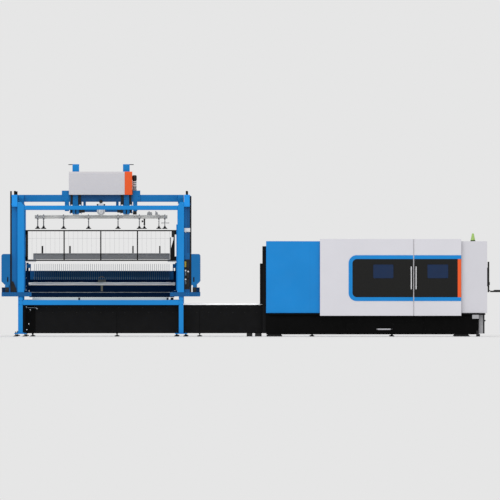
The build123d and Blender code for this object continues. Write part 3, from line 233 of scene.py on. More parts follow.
def metal(name, colour, rough, stretch, blotch=0.08, scratch=0.15, bare=1.0):
    """Metal with grinding or brushing lines stretched along X, Y and Z; bare below 1 leaves an oxide film."""
    material, tree, output, point = empty_material(name)
    run = add(tree, "ShaderNodeVectorMath", {0: point, 1: stretch}, operation="MULTIPLY")
    along = {"Vector": run.outputs["Vector"], "Scale": 1000 / GRAIN_MM, "Detail": 2.0}
    grain = add(tree, "ShaderNodeTexNoise", along)
    skin = add(tree, "ShaderNodeTexNoise", {"Vector": point, "Scale": BLOTCHES_PER_M, "Detail": 6.0})
    ends = {**NOISE_RANGE, "Value": skin.outputs["Fac"], "To Min": 1 - blotch, "To Max": 1 + blotch}
    value = add(tree, "ShaderNodeMapRange", ends).outputs["Result"]
    tint = add(tree, "ShaderNodeHueSaturation", {"Color": srgb(colour), "Value": value})
    ends = {**NOISE_RANGE, "Value": grain.outputs["Fac"], "To Min": rough - 0.08, "To Max": rough + 0.1}
    gloss = add(tree, "ShaderNodeMapRange", ends).outputs["Result"]
    relief = {"Height": grain.outputs["Fac"], "Strength": scratch, "Distance": SCRATCH_DEEP}
    lines = add(tree, "ShaderNodeBump", relief)
    shader = add(
        tree,
        "ShaderNodeBsdfPrincipled",
        {
            "Base Color": tint.outputs["Color"],
            "Roughness": gloss,
            "Normal": lines.outputs["Normal"],
            "Metallic": bare,
        },
    )
    tree.links.new(shader.outputs["BSDF"], output.inputs["Surface"])
    return material


ground_steel = metal("ground_steel", "#F4F5F6", 0.46, (0.04, 1, 1), blotch=0.03, scratch=0.05, bare=0.85)
plate_steel = metal("rolled_steel_plate", "#9DA4A8", 0.46, (1, 0.2, 1), blotch=0.2)
brushed_alloy = metal("brushed_anodised_aluminium", "#B2B2B0", 0.42, (0.03, 1, 1), bare=0.7)
zinc_steel = metal("zinc_plated_steel", "#D2D4D6", 0.3, (1, 1, 1), blotch=0.12)
cast_alloy = metal("cast_aluminium_lacquered", "#B9BABC", 0.5, (1, 1, 1), scratch=0.35)
blued_steel = metal("phosphated_steel", "#6E6F72", 0.45, (1, 1, 1))
grip_steel = metal("satin_stainless_steel", "#97969A", 0.4, (1, 1, 0.05), bare=0.7)
handle_steel = metal("polished_stainless_steel", "#D6D5D8", 0.36, (1, 1, 0.05), blotch=0.03, bare=0.5)
copper = metal("turned_copper", "#C8825A", 0.25, (1, 1, 0.1))
print("metals:", ground_steel.name, plate_steel.name, brushed_alloy.name)

# %% [markdown]
# ## Plastics, rubber and glass
# Small covers are moulded plastic with a spark-eroded grain. Cups and seals are matt rubber. The door
# inserts are black acrylic sheet with a low sheen. The windows are laser-safe polycarbonate, dyed deep
# blue, and only a little light passes. The beacon's cap is clear green plastic lit from inside, so it gets
# a little glow of its own.

# %% Plastics and glass
MOULD_GRAIN_MM = 8
PIT_DEEP = 0.0006
CLOUDS_PER_M = 3.0


def moulded(name, colour, rough, grain=0.2, glow=0.0, clear=0.0, shine=0.3):
    """Moulded plastic or rubber with a fine mould grain; glow and clear suit a lamp cap."""
    material, tree, output, point = empty_material(name)
    pits = add(tree, "ShaderNodeTexVoronoi", {"Vector": point, "Scale": 1000 / MOULD_GRAIN_MM})
    cloud = add(tree, "ShaderNodeTexNoise", {"Vector": point, "Scale": CLOUDS_PER_M, "Detail": 3.0})
    ends = {**NOISE_RANGE, "Value": cloud.outputs["Fac"], "To Min": 0.92, "To Max": 1.08}
    value = add(tree, "ShaderNodeMapRange", ends).outputs["Result"]
    tint = add(tree, "ShaderNodeHueSaturation", {"Color": srgb(colour), "Value": value})
    ends = {**NOISE_RANGE, "Value": cloud.outputs["Fac"], "To Min": rough - 0.04, "To Max": rough + 0.06}
    gloss = add(tree, "ShaderNodeMapRange", ends).outputs["Result"]
    relief = {"Height": pits.outputs["Distance"], "Strength": grain, "Distance": PIT_DEEP}
    skin = add(tree, "ShaderNodeBump", relief)
    shader = add(
        tree,
        "ShaderNodeBsdfPrincipled",
        {
            "Base Color": tint.outputs["Color"],
            "Roughness": gloss,
            "Normal": skin.outputs["Normal"],
            "IOR": 1.5,
            "Specular IOR Level": shine,
            "Transmission Weight": clear,
            "Emission Color": srgb(colour),
            "Emission Strength": glow,
        },
    )
    tree.links.new(shader.outputs["BSDF"], output.inputs["Surface"])
    return material


black_plastic = moulded("moulded_abs_black", "#121213", 0.45, shine=0.2)
black_rubber = moulded("nitrile_rubber_black", "#0F0F0F", 0.7, grain=0.4, shine=0.15)
black_acrylic = moulded("acrylic_sheet_black", "#171716", 0.25, grain=0.02, shine=0.07)
blue_window = moulded("laser_safe_polycarbonate_blue", "#0A264A", 0.2, grain=0.0, clear=0.1, shine=0.06)
green_lens = moulded("beacon_lens_green", "#A2C46C", 0.25, grain=0.05, glow=0.06, clear=0.2)
white_plastic = moulded("moulded_abs_white", "#DADADB", 0.4)
grey_plastic = moulded("moulded_abs_light_grey", "#A8A8A8", 0.45)
yellow_plastic = moulded("moulded_abs_yellow", "#B7A238", 0.4)
red_plastic = moulded("moulded_abs_red", "#B8231C", 0.35)
smoked_bowl = moulded("smoked_polycarbonate", "#8E9AA0", 0.2, grain=0.0, clear=0.5)
print("materials so far:", len(bpy.data.materials))

# %% [markdown]
# ## Painting the solids
# Each imported node keeps its shape. It gets the material of its slot, or one of its own where its tone
# differs, and two modifiers: Weld joins the corners that the file format split, and Bevel rounds the hard
# edges by a few millimetres, because folded and welded steel has no razor edges and the rounding catches
# the light. Some own tones are painted light and shade: the hoist frame and the right side frame take a
# darker blue as painted shade, and the tines a pale blue as painted light.

# %% Materials and rounded edges on the imported nodes
SLOT_MATERIAL = {
    "blue_paint": blue_coat,
    "deep_blue_paint": deep_blue_shade_coat,
    "navy_paint": navy_shade_coat,
    "grey_white_paint": white_coat,
    "orange_paint": orange_coat,
    "black_paint": black_coat,
    "grey_paint": grey_coat,
    "steel": ground_steel,
    "plate_steel": plate_steel,
    "anodised": brushed_alloy,
    "motor_grey": cast_alloy,
    "black_plastic": black_plastic,
    "black_rubber": black_rubber,
    "black_panel": black_acrylic,
    "laser_glass": blue_window,
    "beacon_green": green_lens,
}
WELD_WITHIN = 0.00005
USUAL_ROUND_MM = 3
ROUND_OVER = math.radians(40)
ROUND_MM = {
    "front_portal": 6,
    "rear_portal": 6,
    "left_side_frame": 6,
    "right_side_frame": 6,
    "hoist_cover": 10,
}
NO_ROUND = {
    "gate_mesh",
    "pallet_a_slats",
    "pallet_b_slats",
    "comb_tines",
    "door_left_window",
    "door_right_window",
}
slot_of = {part["node"]: part["material_slot"] for part in frame["record"]["subparts"]}
NODE_MATERIAL = {
    "pallet_a_frame": pale_coat,
    "pallet_b_frame": pale_coat,
    "comb_beam": comb_coat,
    "comb_tines": tine_painted_light_coat,
    # Painted shade: the hoist frame takes the darker blue because it stands in the cover's shade.
    "hoist_frame": deep_blue_shade_coat,
    "hoist_cover": cover_coat,
    # Painted shade: the right side frame takes a darker blue than the left one.
    "right_side_frame": housing_shade_coat,
    "right_cabinet": cabinet_coat,
    "machine_base": base_coat,
    "scrap_drawer": base_coat,
    "service_column": column_coat,
    "operator_panel": graphite_coat,
    "keyboard_tray": graphite_coat,
}
for name, solid in nodes.items():
    solid.data.materials.clear()
    solid.data.materials.append(NODE_MATERIAL.get(name, SLOT_MATERIAL[slot_of[name]]))
    weld = solid.modifiers.new("weld", "WELD")
    weld.merge_threshold = WELD_WITHIN
    if name in NO_ROUND:
        continue
    bevel = solid.modifiers.new("rounded_edges", "BEVEL")
    bevel.width = ROUND_MM.get(name, USUAL_ROUND_MM) / 1000
    bevel.segments = 2
    bevel.limit_method = "ANGLE"
    bevel.angle_limit = ROUND_OVER
    bevel.harden_normals = True
print("painted nodes:", len(nodes))

# %% [markdown]
# ## Places and mesh helpers
# The machine's drawing measures X from the cabin's entry face, Y from the pallets' middle line and Z from
# the floor, in millimetres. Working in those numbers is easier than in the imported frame, so a mesh is built
# in them and moved and scaled once, when it becomes a piece. The tower is the same on both sides, so its X
# is measured outwards from its middle. Four helpers make nearly everything: a block with rounded edges, a
# turned piece, a plate of any outline and a hexagon bolt. The others repeat them or draw outlines.


# %% Places and pieces
ENTRY_TO_CABIN = 1.291
LINE_TO_FRONT = 1.4
cabin_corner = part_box("main_cabin")[0]
ORIGIN = Vector((cabin_corner.x - ENTRY_TO_CABIN, cabin_corner.y + LINE_TO_FRONT, 0))
TOWER = -3972
SIDES = (-1, 1)
LOOK_FRONT, LOOK_BACK, LOOK_RIGHT, LOOK_UP = (0, -1, 0), (0, 1, 0), (1, 0, 0), (0, 0, 1)
SMOOTH_UNDER = math.radians(38)


def tower(side, out):
    """X of a place measured outwards from the tower's middle."""
    return TOWER + side * out


def span(side, inner, outer):
    """X of two such places, the lower first."""
    return sorted((tower(side, inner), tower(side, outer)))


def piece(name, mesh, material, body, stands_for=()):
    """Turns a finished mesh into a piece in the frame that rides on a body."""
    bmesh.ops.recalc_face_normals(mesh, faces=mesh.faces)
    mesh.transform(Matrix.Translation(ORIGIN) @ Matrix.Scale(0.001, 4))
    data = bpy.data.meshes.new(name)
    mesh.to_mesh(data)
    mesh.free()
    data.polygons.foreach_set("use_smooth", [True] * len(data.polygons))
    data.set_sharp_from_angle(angle=SMOOTH_UNDER)
    data.materials.append(material)
    made = bpy.data.objects.new(name, data)
    scene.collection.objects.link(made)
    made.modifiers.new("Even normals", "WEIGHTED_NORMAL").keep_sharp = True
    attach(made, body)
    if stands_for:
        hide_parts(*stands_for)
    print(name, "faces:", len(data.polygons))


print("drawing origin in the frame:", [round(v, 3) for v in ORIGIN])


# %% Outlines
def circle(x, z, radius, count, shift=0):
    """Points spaced evenly on a circle."""
    angles = [2 * math.pi * (i + shift) / count for i in range(count)]
    return [(x + radius * math.cos(a), z + radius * math.sin(a)) for a in angles]


def arc(x, z, radius, start, end, steps=20):
    """Points along an arc, angles in degrees."""
    angles = [math.radians(start + (end - start) * i / steps) for i in range(steps + 1)]
    return [(x + radius * math.cos(a), z + radius * math.sin(a)) for a in angles]


def rounded(x, z, radius, steps=8):
    """Points round a rectangle with rounded corners."""
    left, right, low, high = x[0] + radius, x[1] - radius, z[0] + radius, z[1] - radius
    corners = ((right, high, 0), (left, high, 90), (left, low, 180), (right, low, 270))
    return [point for cx, cz, start in corners for point in arc(cx, cz, radius, start, start + 90, steps)]


# %% Blocks and turned pieces
HEX_CORNER = 0.577  # a hexagon's radius to its corners, as a share of the width across its flats
WASHER_WIDE, WASHER_THICK = 1.2, 0.12  # shares of that radius and of that width
EDGE_HIGH, TOP_HIGH, TOP_NARROW = 0.6, 0.7, 0.84


def bar(mesh, x, y, z, edge):
    """A block between two places on each axis, its edges rounded."""
    corners = bmesh.ops.create_cube(mesh, size=1)["verts"]
    low = Vector((min(x), min(y), min(z)))
    high = Vector((max(x), max(y), max(z)))
    for vert in corners:
        vert.co = (low + high) / 2 + vert.co * (high - low)
    sharp = list({line for vert in corners for line in vert.link_edges})
    bmesh.ops.bevel(
        mesh, geom=sharp, offset=edge, segments=2, profile=0.5, affect="EDGES", clamp_overlap=True
    )


def twin(mesh, out, y, z, edge):
    """The same block on both sides of the tower."""
    for side in SIDES:
        bar(mesh, span(side, *out), y, z, edge)


def skin(mesh, rings):
    """Joins rings of equal length with faces and closes both ends."""
    count = len(rings[0])
    for near, far in zip(rings, rings[1:]):
        for i in range(count):
            j = (i + 1) % count
            mesh.faces.new((near[i], near[j], far[j], far[i]))
    mesh.faces.new(rings[0])
    mesh.faces.new(rings[-1])


def turned(mesh, profile, place, axis=LOOK_UP, sides=32):
    """A turned piece: radius and height pairs, spun about an axis through a place."""
    turn = Vector(axis).to_track_quat("Z", "Y").to_matrix()
    rings = []
    for radius, height in profile:
        spokes = [Vector((a, b, height)) for a, b in circle(0, 0, radius, sides)]
        rings.append([mesh.verts.new(Vector(place) + turn @ spoke) for spoke in spokes])
    skin(mesh, rings)


def bolt(mesh, place, axis, across):
    """A hexagon bolt head with its washer, seated on a face."""
    radius = across * HEX_CORNER
    washer = radius * WASHER_WIDE
    thick = across * WASHER_THICK
    turned(mesh, [(washer, 0), (washer, thick)], place, axis, 20)
    head = [(radius, thick), (radius, across * EDGE_HIGH), (radius * TOP_NARROW, across * TOP_HIGH)]
    turned(mesh, head, place, axis, 6)


def bolts(mesh, xs, ys, zs, axis, across):
    """A bolt at every crossing of the given places."""
    for place in itertools.product(xs, ys, zs):
        bolt(mesh, place, axis, across)


def twin_bolts(mesh, outs, y, zs, across):
    """Front bolts at the same places on both sides of the tower."""
    for side in SIDES:
        bolts(mesh, [tower(side, out) for out in outs], [y], zs, LOOK_FRONT, across)


# %% Plates
def plate(mesh, outline, axis, ends):
    """A plate of any outline, drawn across an axis and drawn out between two ends."""
    order = {"X": lambda a, b, c: (c, a, b), "Y": lambda a, b, c: (a, c, b)}[axis]
    skin(mesh, [[mesh.verts.new(order(a, b, end)) for a, b in outline] for end in ends])


def band(mesh, outer, inner, y):
    """A flat ring between two outlines of equal length, between two depths along Y."""
    edges = ((outer, y[0]), (outer, y[1]), (inner, y[1]), (inner, y[0]))
    loops = [[mesh.verts.new((a, depth, b)) for a, b in line] for line, depth in edges]
    count = len(outer)
    for near, far in zip(loops, loops[1:] + loops[:1]):
        for i in range(count):
            j = (i + 1) % count
            mesh.faces.new((near[i], near[j], far[j], far[i]))

# %% [markdown]
# ## Suction cups and their stems
# Sixteen rubber bell cups hang from the spreaders on sprung stems, and one more on a lifting cylinder
# breaks the vacuum between stuck sheets. A bell cup is a turned form with a thin lip, a folded wall and a
# hollow underside, so a profile spun round its axis is all it needs. The stems are dark steel tubes in
# bushings, with a coil spring round each. In their profiles the second number of a pair is a height above
# the floor. A small sheet sensor is clamped across the last stem in front.

# %% Suction cups
BAR_HALF = 1596
CUP_SHARES = (-0.955, -0.866, -0.565, -0.188, 0.256, 0.577, 0.872, 0.961)
LIFTER_SHARE = 0.653
CUP_OUT = 600
CUP_X = [TOWER + share * BAR_HALF for share in CUP_SHARES]
STEMS = [(x, side * CUP_OUT) for x in CUP_X for side in SIDES]
LIFTER_X = TOWER + LIFTER_SHARE * BAR_HALF
BELL = [(3, 2607), (30, 2603), (50, 2588), (57, 2585), (60, 2587), (60, 2596), (56, 2602), (42, 2608)]
BELL += [(33, 2613), (28, 2617), (30, 2620), (26, 2625), (22, 2629), (22, 2638), (20, 2645)]
mesh = bmesh.new()
for x, y in STEMS + [(LIFTER_X, 0)]:
    turned(mesh, BELL, (x, y, 0), sides=36)
piece("suction_cup_bells", mesh, black_rubber, "suction_frame", ["suction_cups"])

# %% Stems, springs and nuts
STEM_TUBE = [(6, 2640), (6, 2846)]
LOWER_NUT = [(12, 2644), (13, 2646), (13, 2655), (11, 2657)]
SPRING_SEAT = [(10, 2756), (12, 2758), (12, 2764), (10, 2766)]
BUSHING = [(14, 2806), (15, 2808), (15, 2834), (21, 2836), (21, 2846)]
UPPER_NUT = [(13, 2900), (13, 2910), (8, 2913), (8, 2930), (6, 2932)]
STEM_PARTS = ((STEM_TUBE, 16), (LOWER_NUT, 6), (SPRING_SEAT, 20), (BUSHING, 20), (UPPER_NUT, 6))
SPRING_Z = (2658, 2756)
SPRING_RADIUS, WIRE_RADIUS = 9, 1.8
TURNS, TURN_STEPS, WIRE_SIDES = 6, 14, 6
SHEET_SENSOR_Z = 2726
SHEET_SENSOR = [(5, -86), (8, -84), (8, -60), (7, -58), (7, 92), (10, 94), (10, 104), (7, 107)]


def spring(mesh, x, y):
    """A coil spring round a stem."""
    steps = TURNS * TURN_STEPS
    rings = []
    for i in range(steps + 1):
        angle = 2 * math.pi * i / TURN_STEPS
        out = Vector((math.cos(angle), math.sin(angle), 0))
        rise = SPRING_Z[0] + (SPRING_Z[1] - SPRING_Z[0]) * i / steps
        middle = Vector((x, y, rise)) + out * SPRING_RADIUS
        wire = circle(0, 0, WIRE_RADIUS, WIRE_SIDES)
        rings.append([mesh.verts.new(middle + a * out + Vector((0, 0, b))) for a, b in wire])
    skin(mesh, rings)


mesh = bmesh.new()
for x, y in STEMS:
    for profile, sides in STEM_PARTS:
        turned(mesh, profile, (x, y, 0), sides=sides)
    spring(mesh, x, y)
end = CUP_X[-1]
turned(mesh, SHEET_SENSOR, (end, -CUP_OUT, SHEET_SENSOR_Z), LOOK_RIGHT, 20)
clamp_z = (SHEET_SENSOR_Z - 10, SHEET_SENSOR_Z + 12)
bar(mesh, (end - 12, end + 12), (-CUP_OUT - 12, -CUP_OUT + 12), clamp_z, 2)
piece("cup_stems", mesh, blued_steel, "suction_frame", ["suction_fittings"])

# %% Lifting cylinder and vacuum valves
CYLINDER = [(9, 2645), (9, 2672), (20, 2674), (22, 2678), (22, 2692)]
CYLINDER += [(19, 2694), (19, 2800), (22, 2802), (22, 2830)]
CYLINDER_VALVE_Z = 2766
VALVE_SHARES = ((0.695, 0.77), (0.815, 0.855))
VALVE_FACE = -36
VALVE_Z = (2916, 2966)
mesh = bmesh.new()
turned(mesh, CYLINDER, (LIFTER_X, 0, 0), sides=28)
bar(mesh, (LIFTER_X - 66, LIFTER_X - 34), (-20, 20), (CYLINDER_VALVE_Z - 24, CYLINDER_VALVE_Z + 24), 4)
turned(mesh, [(6, 0), (6, 20)], (LIFTER_X - 36, 0, CYLINDER_VALVE_Z), LOOK_RIGHT, 16)
piece("lifting_cylinder", mesh, graphite_coat, "suction_frame")
mesh = bmesh.new()
for shares in VALVE_SHARES:
    x0, x1 = [TOWER + share * BAR_HALF for share in shares]
    bar(mesh, (x0, x1), (VALVE_FACE, -VALVE_FACE), VALVE_Z, 4)
    bar(mesh, (x0 + 6, x1 - 6), (VALVE_FACE + 6, -VALVE_FACE - 6), (VALVE_Z[1], VALVE_Z[1] + 22), 3)
    turned(mesh, [(13, 2988), (13, 3003), (10, 3010)], ((x0 + x1) / 2 - 14, 0, 0), sides=20)
    bolts(mesh, (x0 + 12, x1 - 12), [VALVE_FACE], [sum(VALVE_Z) / 2], LOOK_FRONT, 12)
piece("vacuum_valves", mesh, grey_plastic, "suction_frame")

# %% T-slots, bolts and caps of the suction bar
SLOT_HALF = 2.5
SPREADER_Z = (2846, 2900)
SPREADER_END = 648
mesh = bmesh.new()
for z in (2850, 2886):
    for y in ((-40.6, -39.6), (39.6, 40.6)):
        bar(mesh, (TOWER - 1594, TOWER + 1594), y, (z - SLOT_HALF, z + SLOT_HALF), 0.3)
twin(mesh, (1590, BAR_HALF), (-38, 38), (2832, 2914), 2)
piece("suction_bar_slots", mesh, black_plastic, "suction_frame")
mesh = bmesh.new()
bolts(mesh, CUP_X, (-500, -330, 330, 500), [SPREADER_Z[1]], LOOK_UP, 13)
piece("suction_bar_bolts", mesh, zinc_steel, "suction_frame")
mesh = bmesh.new()
for x in CUP_X:
    for side in SIDES:
        bar(mesh, (x - 25, x + 25), (side * SPREADER_END, side * (SPREADER_END + 5)), SPREADER_Z, 2)
piece("spreader_caps", mesh, grey_plastic, "suction_frame")

# %% [markdown]
# ## Bridge motors
# The lift gearmotor lies across the hoist and shows its round end cap with a ring of bolts. The bridge's
# travel motor stands on its gearbox: a dark fan cowl, pale cooling rings and a grey gear flange. Turned
# profiles give both, and the screws are placed round a circle.

# %% Lift gearmotor
TIE_FACE = -340
LIFT_Z = 3006
LIFT = [(94, 0), (100, 5), (100, 22), (96, 25), (96, 60), (100, 63)]
LIFT += [(100, 88), (72, 90), (70, 94), (70, 120), (64, 126)]
FLANGE, CAP = TIE_FACE - 88, TIE_FACE - 126
NECK = [(-92, 3050), (92, 3050), (92, 3150), (50, 3196), (-50, 3196), (-92, 3150)]
mesh = bmesh.new()
turned(mesh, LIFT, (TOWER, TIE_FACE, LIFT_Z), LOOK_FRONT, 48)
for x, z in circle(TOWER, LIFT_Z, 85, 8, 0.5):
    bolt(mesh, (x, FLANGE, z), LOOK_FRONT, 13)
turned(mesh, [(24, 0), (24, 6), (18, 8)], (TOWER, CAP, LIFT_Z), LOOK_FRONT, 24)
plate(mesh, [(TOWER + x, z) for x, z in NECK], "Y", (-430, -345))
piece("lift_gearmotor", mesh, cast_alloy, "bridge", ["bridge_motors"])

# %% Brake and travel motor
GEAR_X, GEAR_Y = TOWER + 805, -300
GEAR_HALF = 54
GEAR_BOX_Z = (3403, 3516)
COWL = [(50, 3752), (54, 3756), (54, 3850), (48, 3866), (30, 3876)]
STATOR = [(46, 3598), (46, 3754)]
GEAR_FLANGE = [(54, 3516), (54, 3532), (48, 3536), (48, 3586), (54, 3590), (54, 3600)]
PINION_FACE = -390
mesh = bmesh.new()
turned(mesh, [(38, 0), (42, 4), (42, 58), (38, 66), (26, 70)], (TOWER, -360, 3238), LOOK_FRONT, 36)
for side in SIDES:
    turned(mesh, [(18, 0), (20, 3), (20, 30), (16, 34)], (tower(side, 84), -430, 3164), LOOK_FRONT, 24)
for profile in (COWL, STATOR):
    turned(mesh, profile, (GEAR_X, GEAR_Y, 0), sides=40)
bar(mesh, (GEAR_X - 36, GEAR_X + GEAR_HALF), (PINION_FACE, GEAR_Y + GEAR_HALF), (2928, 3012), 6)
turned(mesh, [(30, 0), (30, 6), (16, 8), (16, 14)], (GEAR_X + 8, PINION_FACE, 2968), LOOK_FRONT, 24)
for x, y in circle(GEAR_X, GEAR_Y, 53, 12):
    bar(mesh, (x - 2, x + 2), (y - 2, y + 2), (3764, 3842), 0.8)
piece("motor_cowls", mesh, graphite_coat, "bridge")
mesh = bmesh.new()
for low in (3604, 3652, 3700):
    turned(mesh, [(44, low), (54, low + 3), (54, low + 27), (44, low + 30)], (GEAR_X, GEAR_Y, 0), sides=40)
piece("travel_motor_rings", mesh, white_plastic, "bridge")
mesh = bmesh.new()
turned(mesh, GEAR_FLANGE, (GEAR_X, GEAR_Y, 0), sides=40)
bar(mesh, (GEAR_X - GEAR_HALF, GEAR_X + GEAR_HALF), (GEAR_Y - GEAR_HALF, GEAR_Y + GEAR_HALF), GEAR_BOX_Z, 8)
bolts(mesh, (GEAR_X - 40, GEAR_X + 40), [GEAR_Y - GEAR_HALF], (3420, 3498), LOOK_FRONT, 13)
piece("travel_gearbox", mesh, grey_coat, "bridge")

# %% [markdown]
# ## Hoist: bolts, guides, racks and flags
# The bracket plates are bolted to the girders, and the cover is held by small countersunk screws. In front
# of the girder sit the mast guides between black pads, and plates of a darker blue cover its web and the tie
# below; that darker blue is painted shade from the cover above. Toothed racks run up the outer masts, and a
# thin black flag on each mast tells a switch where the top is.

# %% Hoist bolts and cover screws
BRACKET_BOLTS = [(800, 3040), (845, 3040), (800, 3130), (845, 3210)]
BRACKET_BOLTS += [(800, 3280), (905, 3290), (905, 3380), (800, 3470)]
GUIDE_WALLS = ((451, -1), (749, 1))  # how far out a mast guide's walls stand, and which way they face
COVER_FACE = -560
COVER_PITCH = 183
mesh = bmesh.new()
for out, z in BRACKET_BOLTS:
    twin_bolts(mesh, [out], -390, [z], 24)
twin_bolts(mesh, (300, 190), TIE_FACE, [3018], 18)
for side in SIDES:
    for out, outwards in GUIDE_WALLS:
        bolts(mesh, [tower(side, out)], (-150, 150), (2980, 3120, 3280), (side * outwards, 0, 0), 16)
piece("hoist_bolts", mesh, deep_blue_shade_coat, "bridge")
mesh = bmesh.new()
for i in range(8):
    for z in (3425, 3895):
        screw = [(9, 0), (9, 1), (6, 2), (4, 1)]
        turned(mesh, screw, (TOWER - 740 + COVER_PITCH * i, COVER_FACE, z), LOOK_FRONT, 16)
piece("cover_screws", mesh, cover_coat, "bridge")

# %% Guides, pads and painted-shade web plates in front of the girder
GIRDER_FACE = -358
GUIDE_FACE = GIRDER_FACE - 34
PAD_FACE = GIRDER_FACE - 26
WEB_SHADE_FACE = -364
mesh = bmesh.new()
twin(mesh, (552, 676), (GUIDE_FACE, GIRDER_FACE), (3150, 3402), 5)
twin_bolts(mesh, (580, 648), GUIDE_FACE, (3180, 3290, 3380), 16)
piece("guide_housings", mesh, deep_blue_shade_coat, "bridge")
mesh = bmesh.new()
for out in ((478, 548), (680, 734)):
    twin(mesh, out, (PAD_FACE, GIRDER_FACE), (3164, 3402), 4)
twin(mesh, (392, 520), (TIE_FACE - 16, TIE_FACE + 4), (2974, 3050), 4)
piece("guide_pads", mesh, black_plastic, "bridge")
mesh = bmesh.new()
# Painted shade: the darker web plate, side bars and tie plate paint the cover's shadow on the girder and tie.
bar(mesh, (TOWER - 472, TOWER + 472), (WEB_SHADE_FACE, WEB_SHADE_FACE + 5), (3240, 3398), 2)
twin(mesh, (362, 408), (TIE_FACE - 6, TIE_FACE + 1), (3046, 3239), 2)
bar(mesh, (TOWER - 396, TOWER + 396), (TIE_FACE - 4, TIE_FACE + 1), (2990, 3046), 1)
bolts(mesh, [TOWER + (i - 4) * 112 for i in range(9)], [WEB_SHADE_FACE], [3262], LOOK_FRONT, 14)
piece("girder_web_shade_plates", mesh, arm_shade_coat, "bridge")

# %% Racks and switch flags on the masts
RACK_Z = (2950, 3930)
RACK_BACK, RACK_ROOT, RACK_TIP = -80, -90, -97
TOOTH = 20
FLAG_Z = (4121.5, 4139.5)
rack = [(RACK_BACK, RACK_Z[0]), (RACK_BACK, RACK_Z[1])]
for z in range(RACK_Z[1], RACK_Z[0] + 12, -TOOTH):
    rack += [(RACK_ROOT, z), (RACK_ROOT, z - 4), (RACK_TIP, z - 8), (RACK_TIP, z - 12), (RACK_ROOT, z - 16)]
rack.append((RACK_ROOT, RACK_Z[0]))
mesh = bmesh.new()
for side in SIDES:
    plate(mesh, rack, "X", span(side, 596, 620))
piece("mast_racks", mesh, graphite_coat, "outer_mast")
mesh = bmesh.new()
for out, y in (((689, 784.5), (-16, -15)), ((689, 784.5), (15, 16)), ((784, 785.5), (-16, 16))):
    twin(mesh, out, y, FLAG_Z, 0.4)
piece("switch_flags", mesh, black_plastic, "outer_mast")

# %% [markdown]
# ## Rake: shaft, gear and comb
# A ground shaft with clamped hubs keeps both ends of the comb level. The round gear housing in the middle
# has a bolted ring. The tines are bolted to the comb beam, two bolts each. A navy lip below and navy end
# covers darken the carriage as painted shade, and a pale steel strip along its edge is a painted highlight.

# %% Torsion shaft
SHAFT_Y, SHAFT_Z = 2904, 1258
SHAFT_HALF = 1771.7
HUB_MIDDLE = 29
SHAFT_END = [(34, 0), (36, 2), (36, 8), (40, 8), (42, 10), (42, 48), (40, 50), (36, 50)]
left, right = TOWER - SHAFT_HALF, TOWER + SHAFT_HALF
shaft = [(radius, left + along) for radius, along in SHAFT_END]
shaft += [(radius, right - along) for radius, along in reversed(SHAFT_END)]
mesh = bmesh.new()
turned(mesh, shaft, (0, SHAFT_Y, SHAFT_Z), LOOK_RIGHT, 48)
for x in (left + HUB_MIDDLE, right - HUB_MIDDLE):
    for y, z in circle(0, 0, 1, 3):
        out = Vector((0, y, z))
        turned(mesh, [(5, -2), (5, 0), (3, 0.6)], Vector((x, SHAFT_Y, SHAFT_Z)) + out * 41, out, 6)
piece("torsion_shaft", mesh, ground_steel, "rake_shaft", ["rake_shaft"])

# %% Gear housing
RING_Z = 1315
RING_FACE = 2940.3
RING = [(94, 0), (98, 3), (98, 44), (95, 49.7), (62, 49.7), (60, 47), (60, 36), (30, 36), (28, 40), (28, 49)]
mesh = bmesh.new()
turned(mesh, RING, (TOWER, 2990, RING_Z), LOOK_FRONT, 48)
for x, z in circle(TOWER, RING_Z, 80, 8, 0.5):
    turned(mesh, [(7, -4), (7, -0.6), (5, 0)], (x, RING_FACE, z), LOOK_FRONT, 6)
bar(mesh, (TOWER - 25, TOWER + 25), (2941, 2980), (1080, 1231), 4)
piece("rake_gear_housing", mesh, iron_coat, "rake_carriage", ["rake_gearmotor"])

# %% Comb bolts, arch plate, painted-shade carriage covers and painted-highlight strip
TINES = 66
TINE_PITCH = 50
COMB_FACE = 2760
ARCH_Z = 1347
RAKE_SIDE = 1824
SHADE_LIP_HALF, SHADE_LIP_Y, SHADE_LIP_Z = 1755, (2992, 3002), (934, 972)
SHADE_COVER_OUT, SHADE_COVER_Y, SHADE_COVER_Z = (1700, 1884), (3006, 3018), (1106, 1574)
EDGE_HIGHLIGHT_HALF, EDGE_HIGHLIGHT_Y, EDGE_HIGHLIGHT_Z = 1752, (2986, 2991), (1046, 1058)
mesh = bmesh.new()
for i in range(TINES):
    x = TOWER + (i - (TINES - 1) / 2) * TINE_PITCH
    for z in (1470, 1535):
        turned(mesh, [(7, 0), (7, 5), (5.5, 6.5)], (x + 14, COMB_FACE, z), LOOK_FRONT, 6)
piece("comb_bolts", mesh, navy_shade_coat, "comb")
mesh = bmesh.new()
plate(mesh, arc(TOWER, ARCH_Z, 94, 10, 170, 10) + arc(TOWER, ARCH_Z, 76, 170, 10, 10), "Y", (2690, 2701))
piece("comb_arch_plate", mesh, iron_coat, "comb")
mesh = bmesh.new()
for side in SIDES:
    bolts(mesh, [tower(side, RAKE_SIDE)], [2955], (1200, 1400, 1600, 1730), (side, 0, 0), 18)
    bolts(mesh, [tower(side, RAKE_SIDE)], (2740, 2830, 2980), [1125], (side, 0, 0), 18)
piece("rake_bolts", mesh, zinc_steel, "rake_carriage")
mesh = bmesh.new()
# Painted shade: the navy lip and end covers darken the carriage where it stands in shade.
bar(mesh, (TOWER - SHADE_LIP_HALF, TOWER + SHADE_LIP_HALF), SHADE_LIP_Y, SHADE_LIP_Z, 2)
twin(mesh, SHADE_COVER_OUT, SHADE_COVER_Y, SHADE_COVER_Z, 2)
piece("rake_shade_lip_and_end_covers", mesh, navy_shade_coat, "rake_carriage")
mesh = bmesh.new()
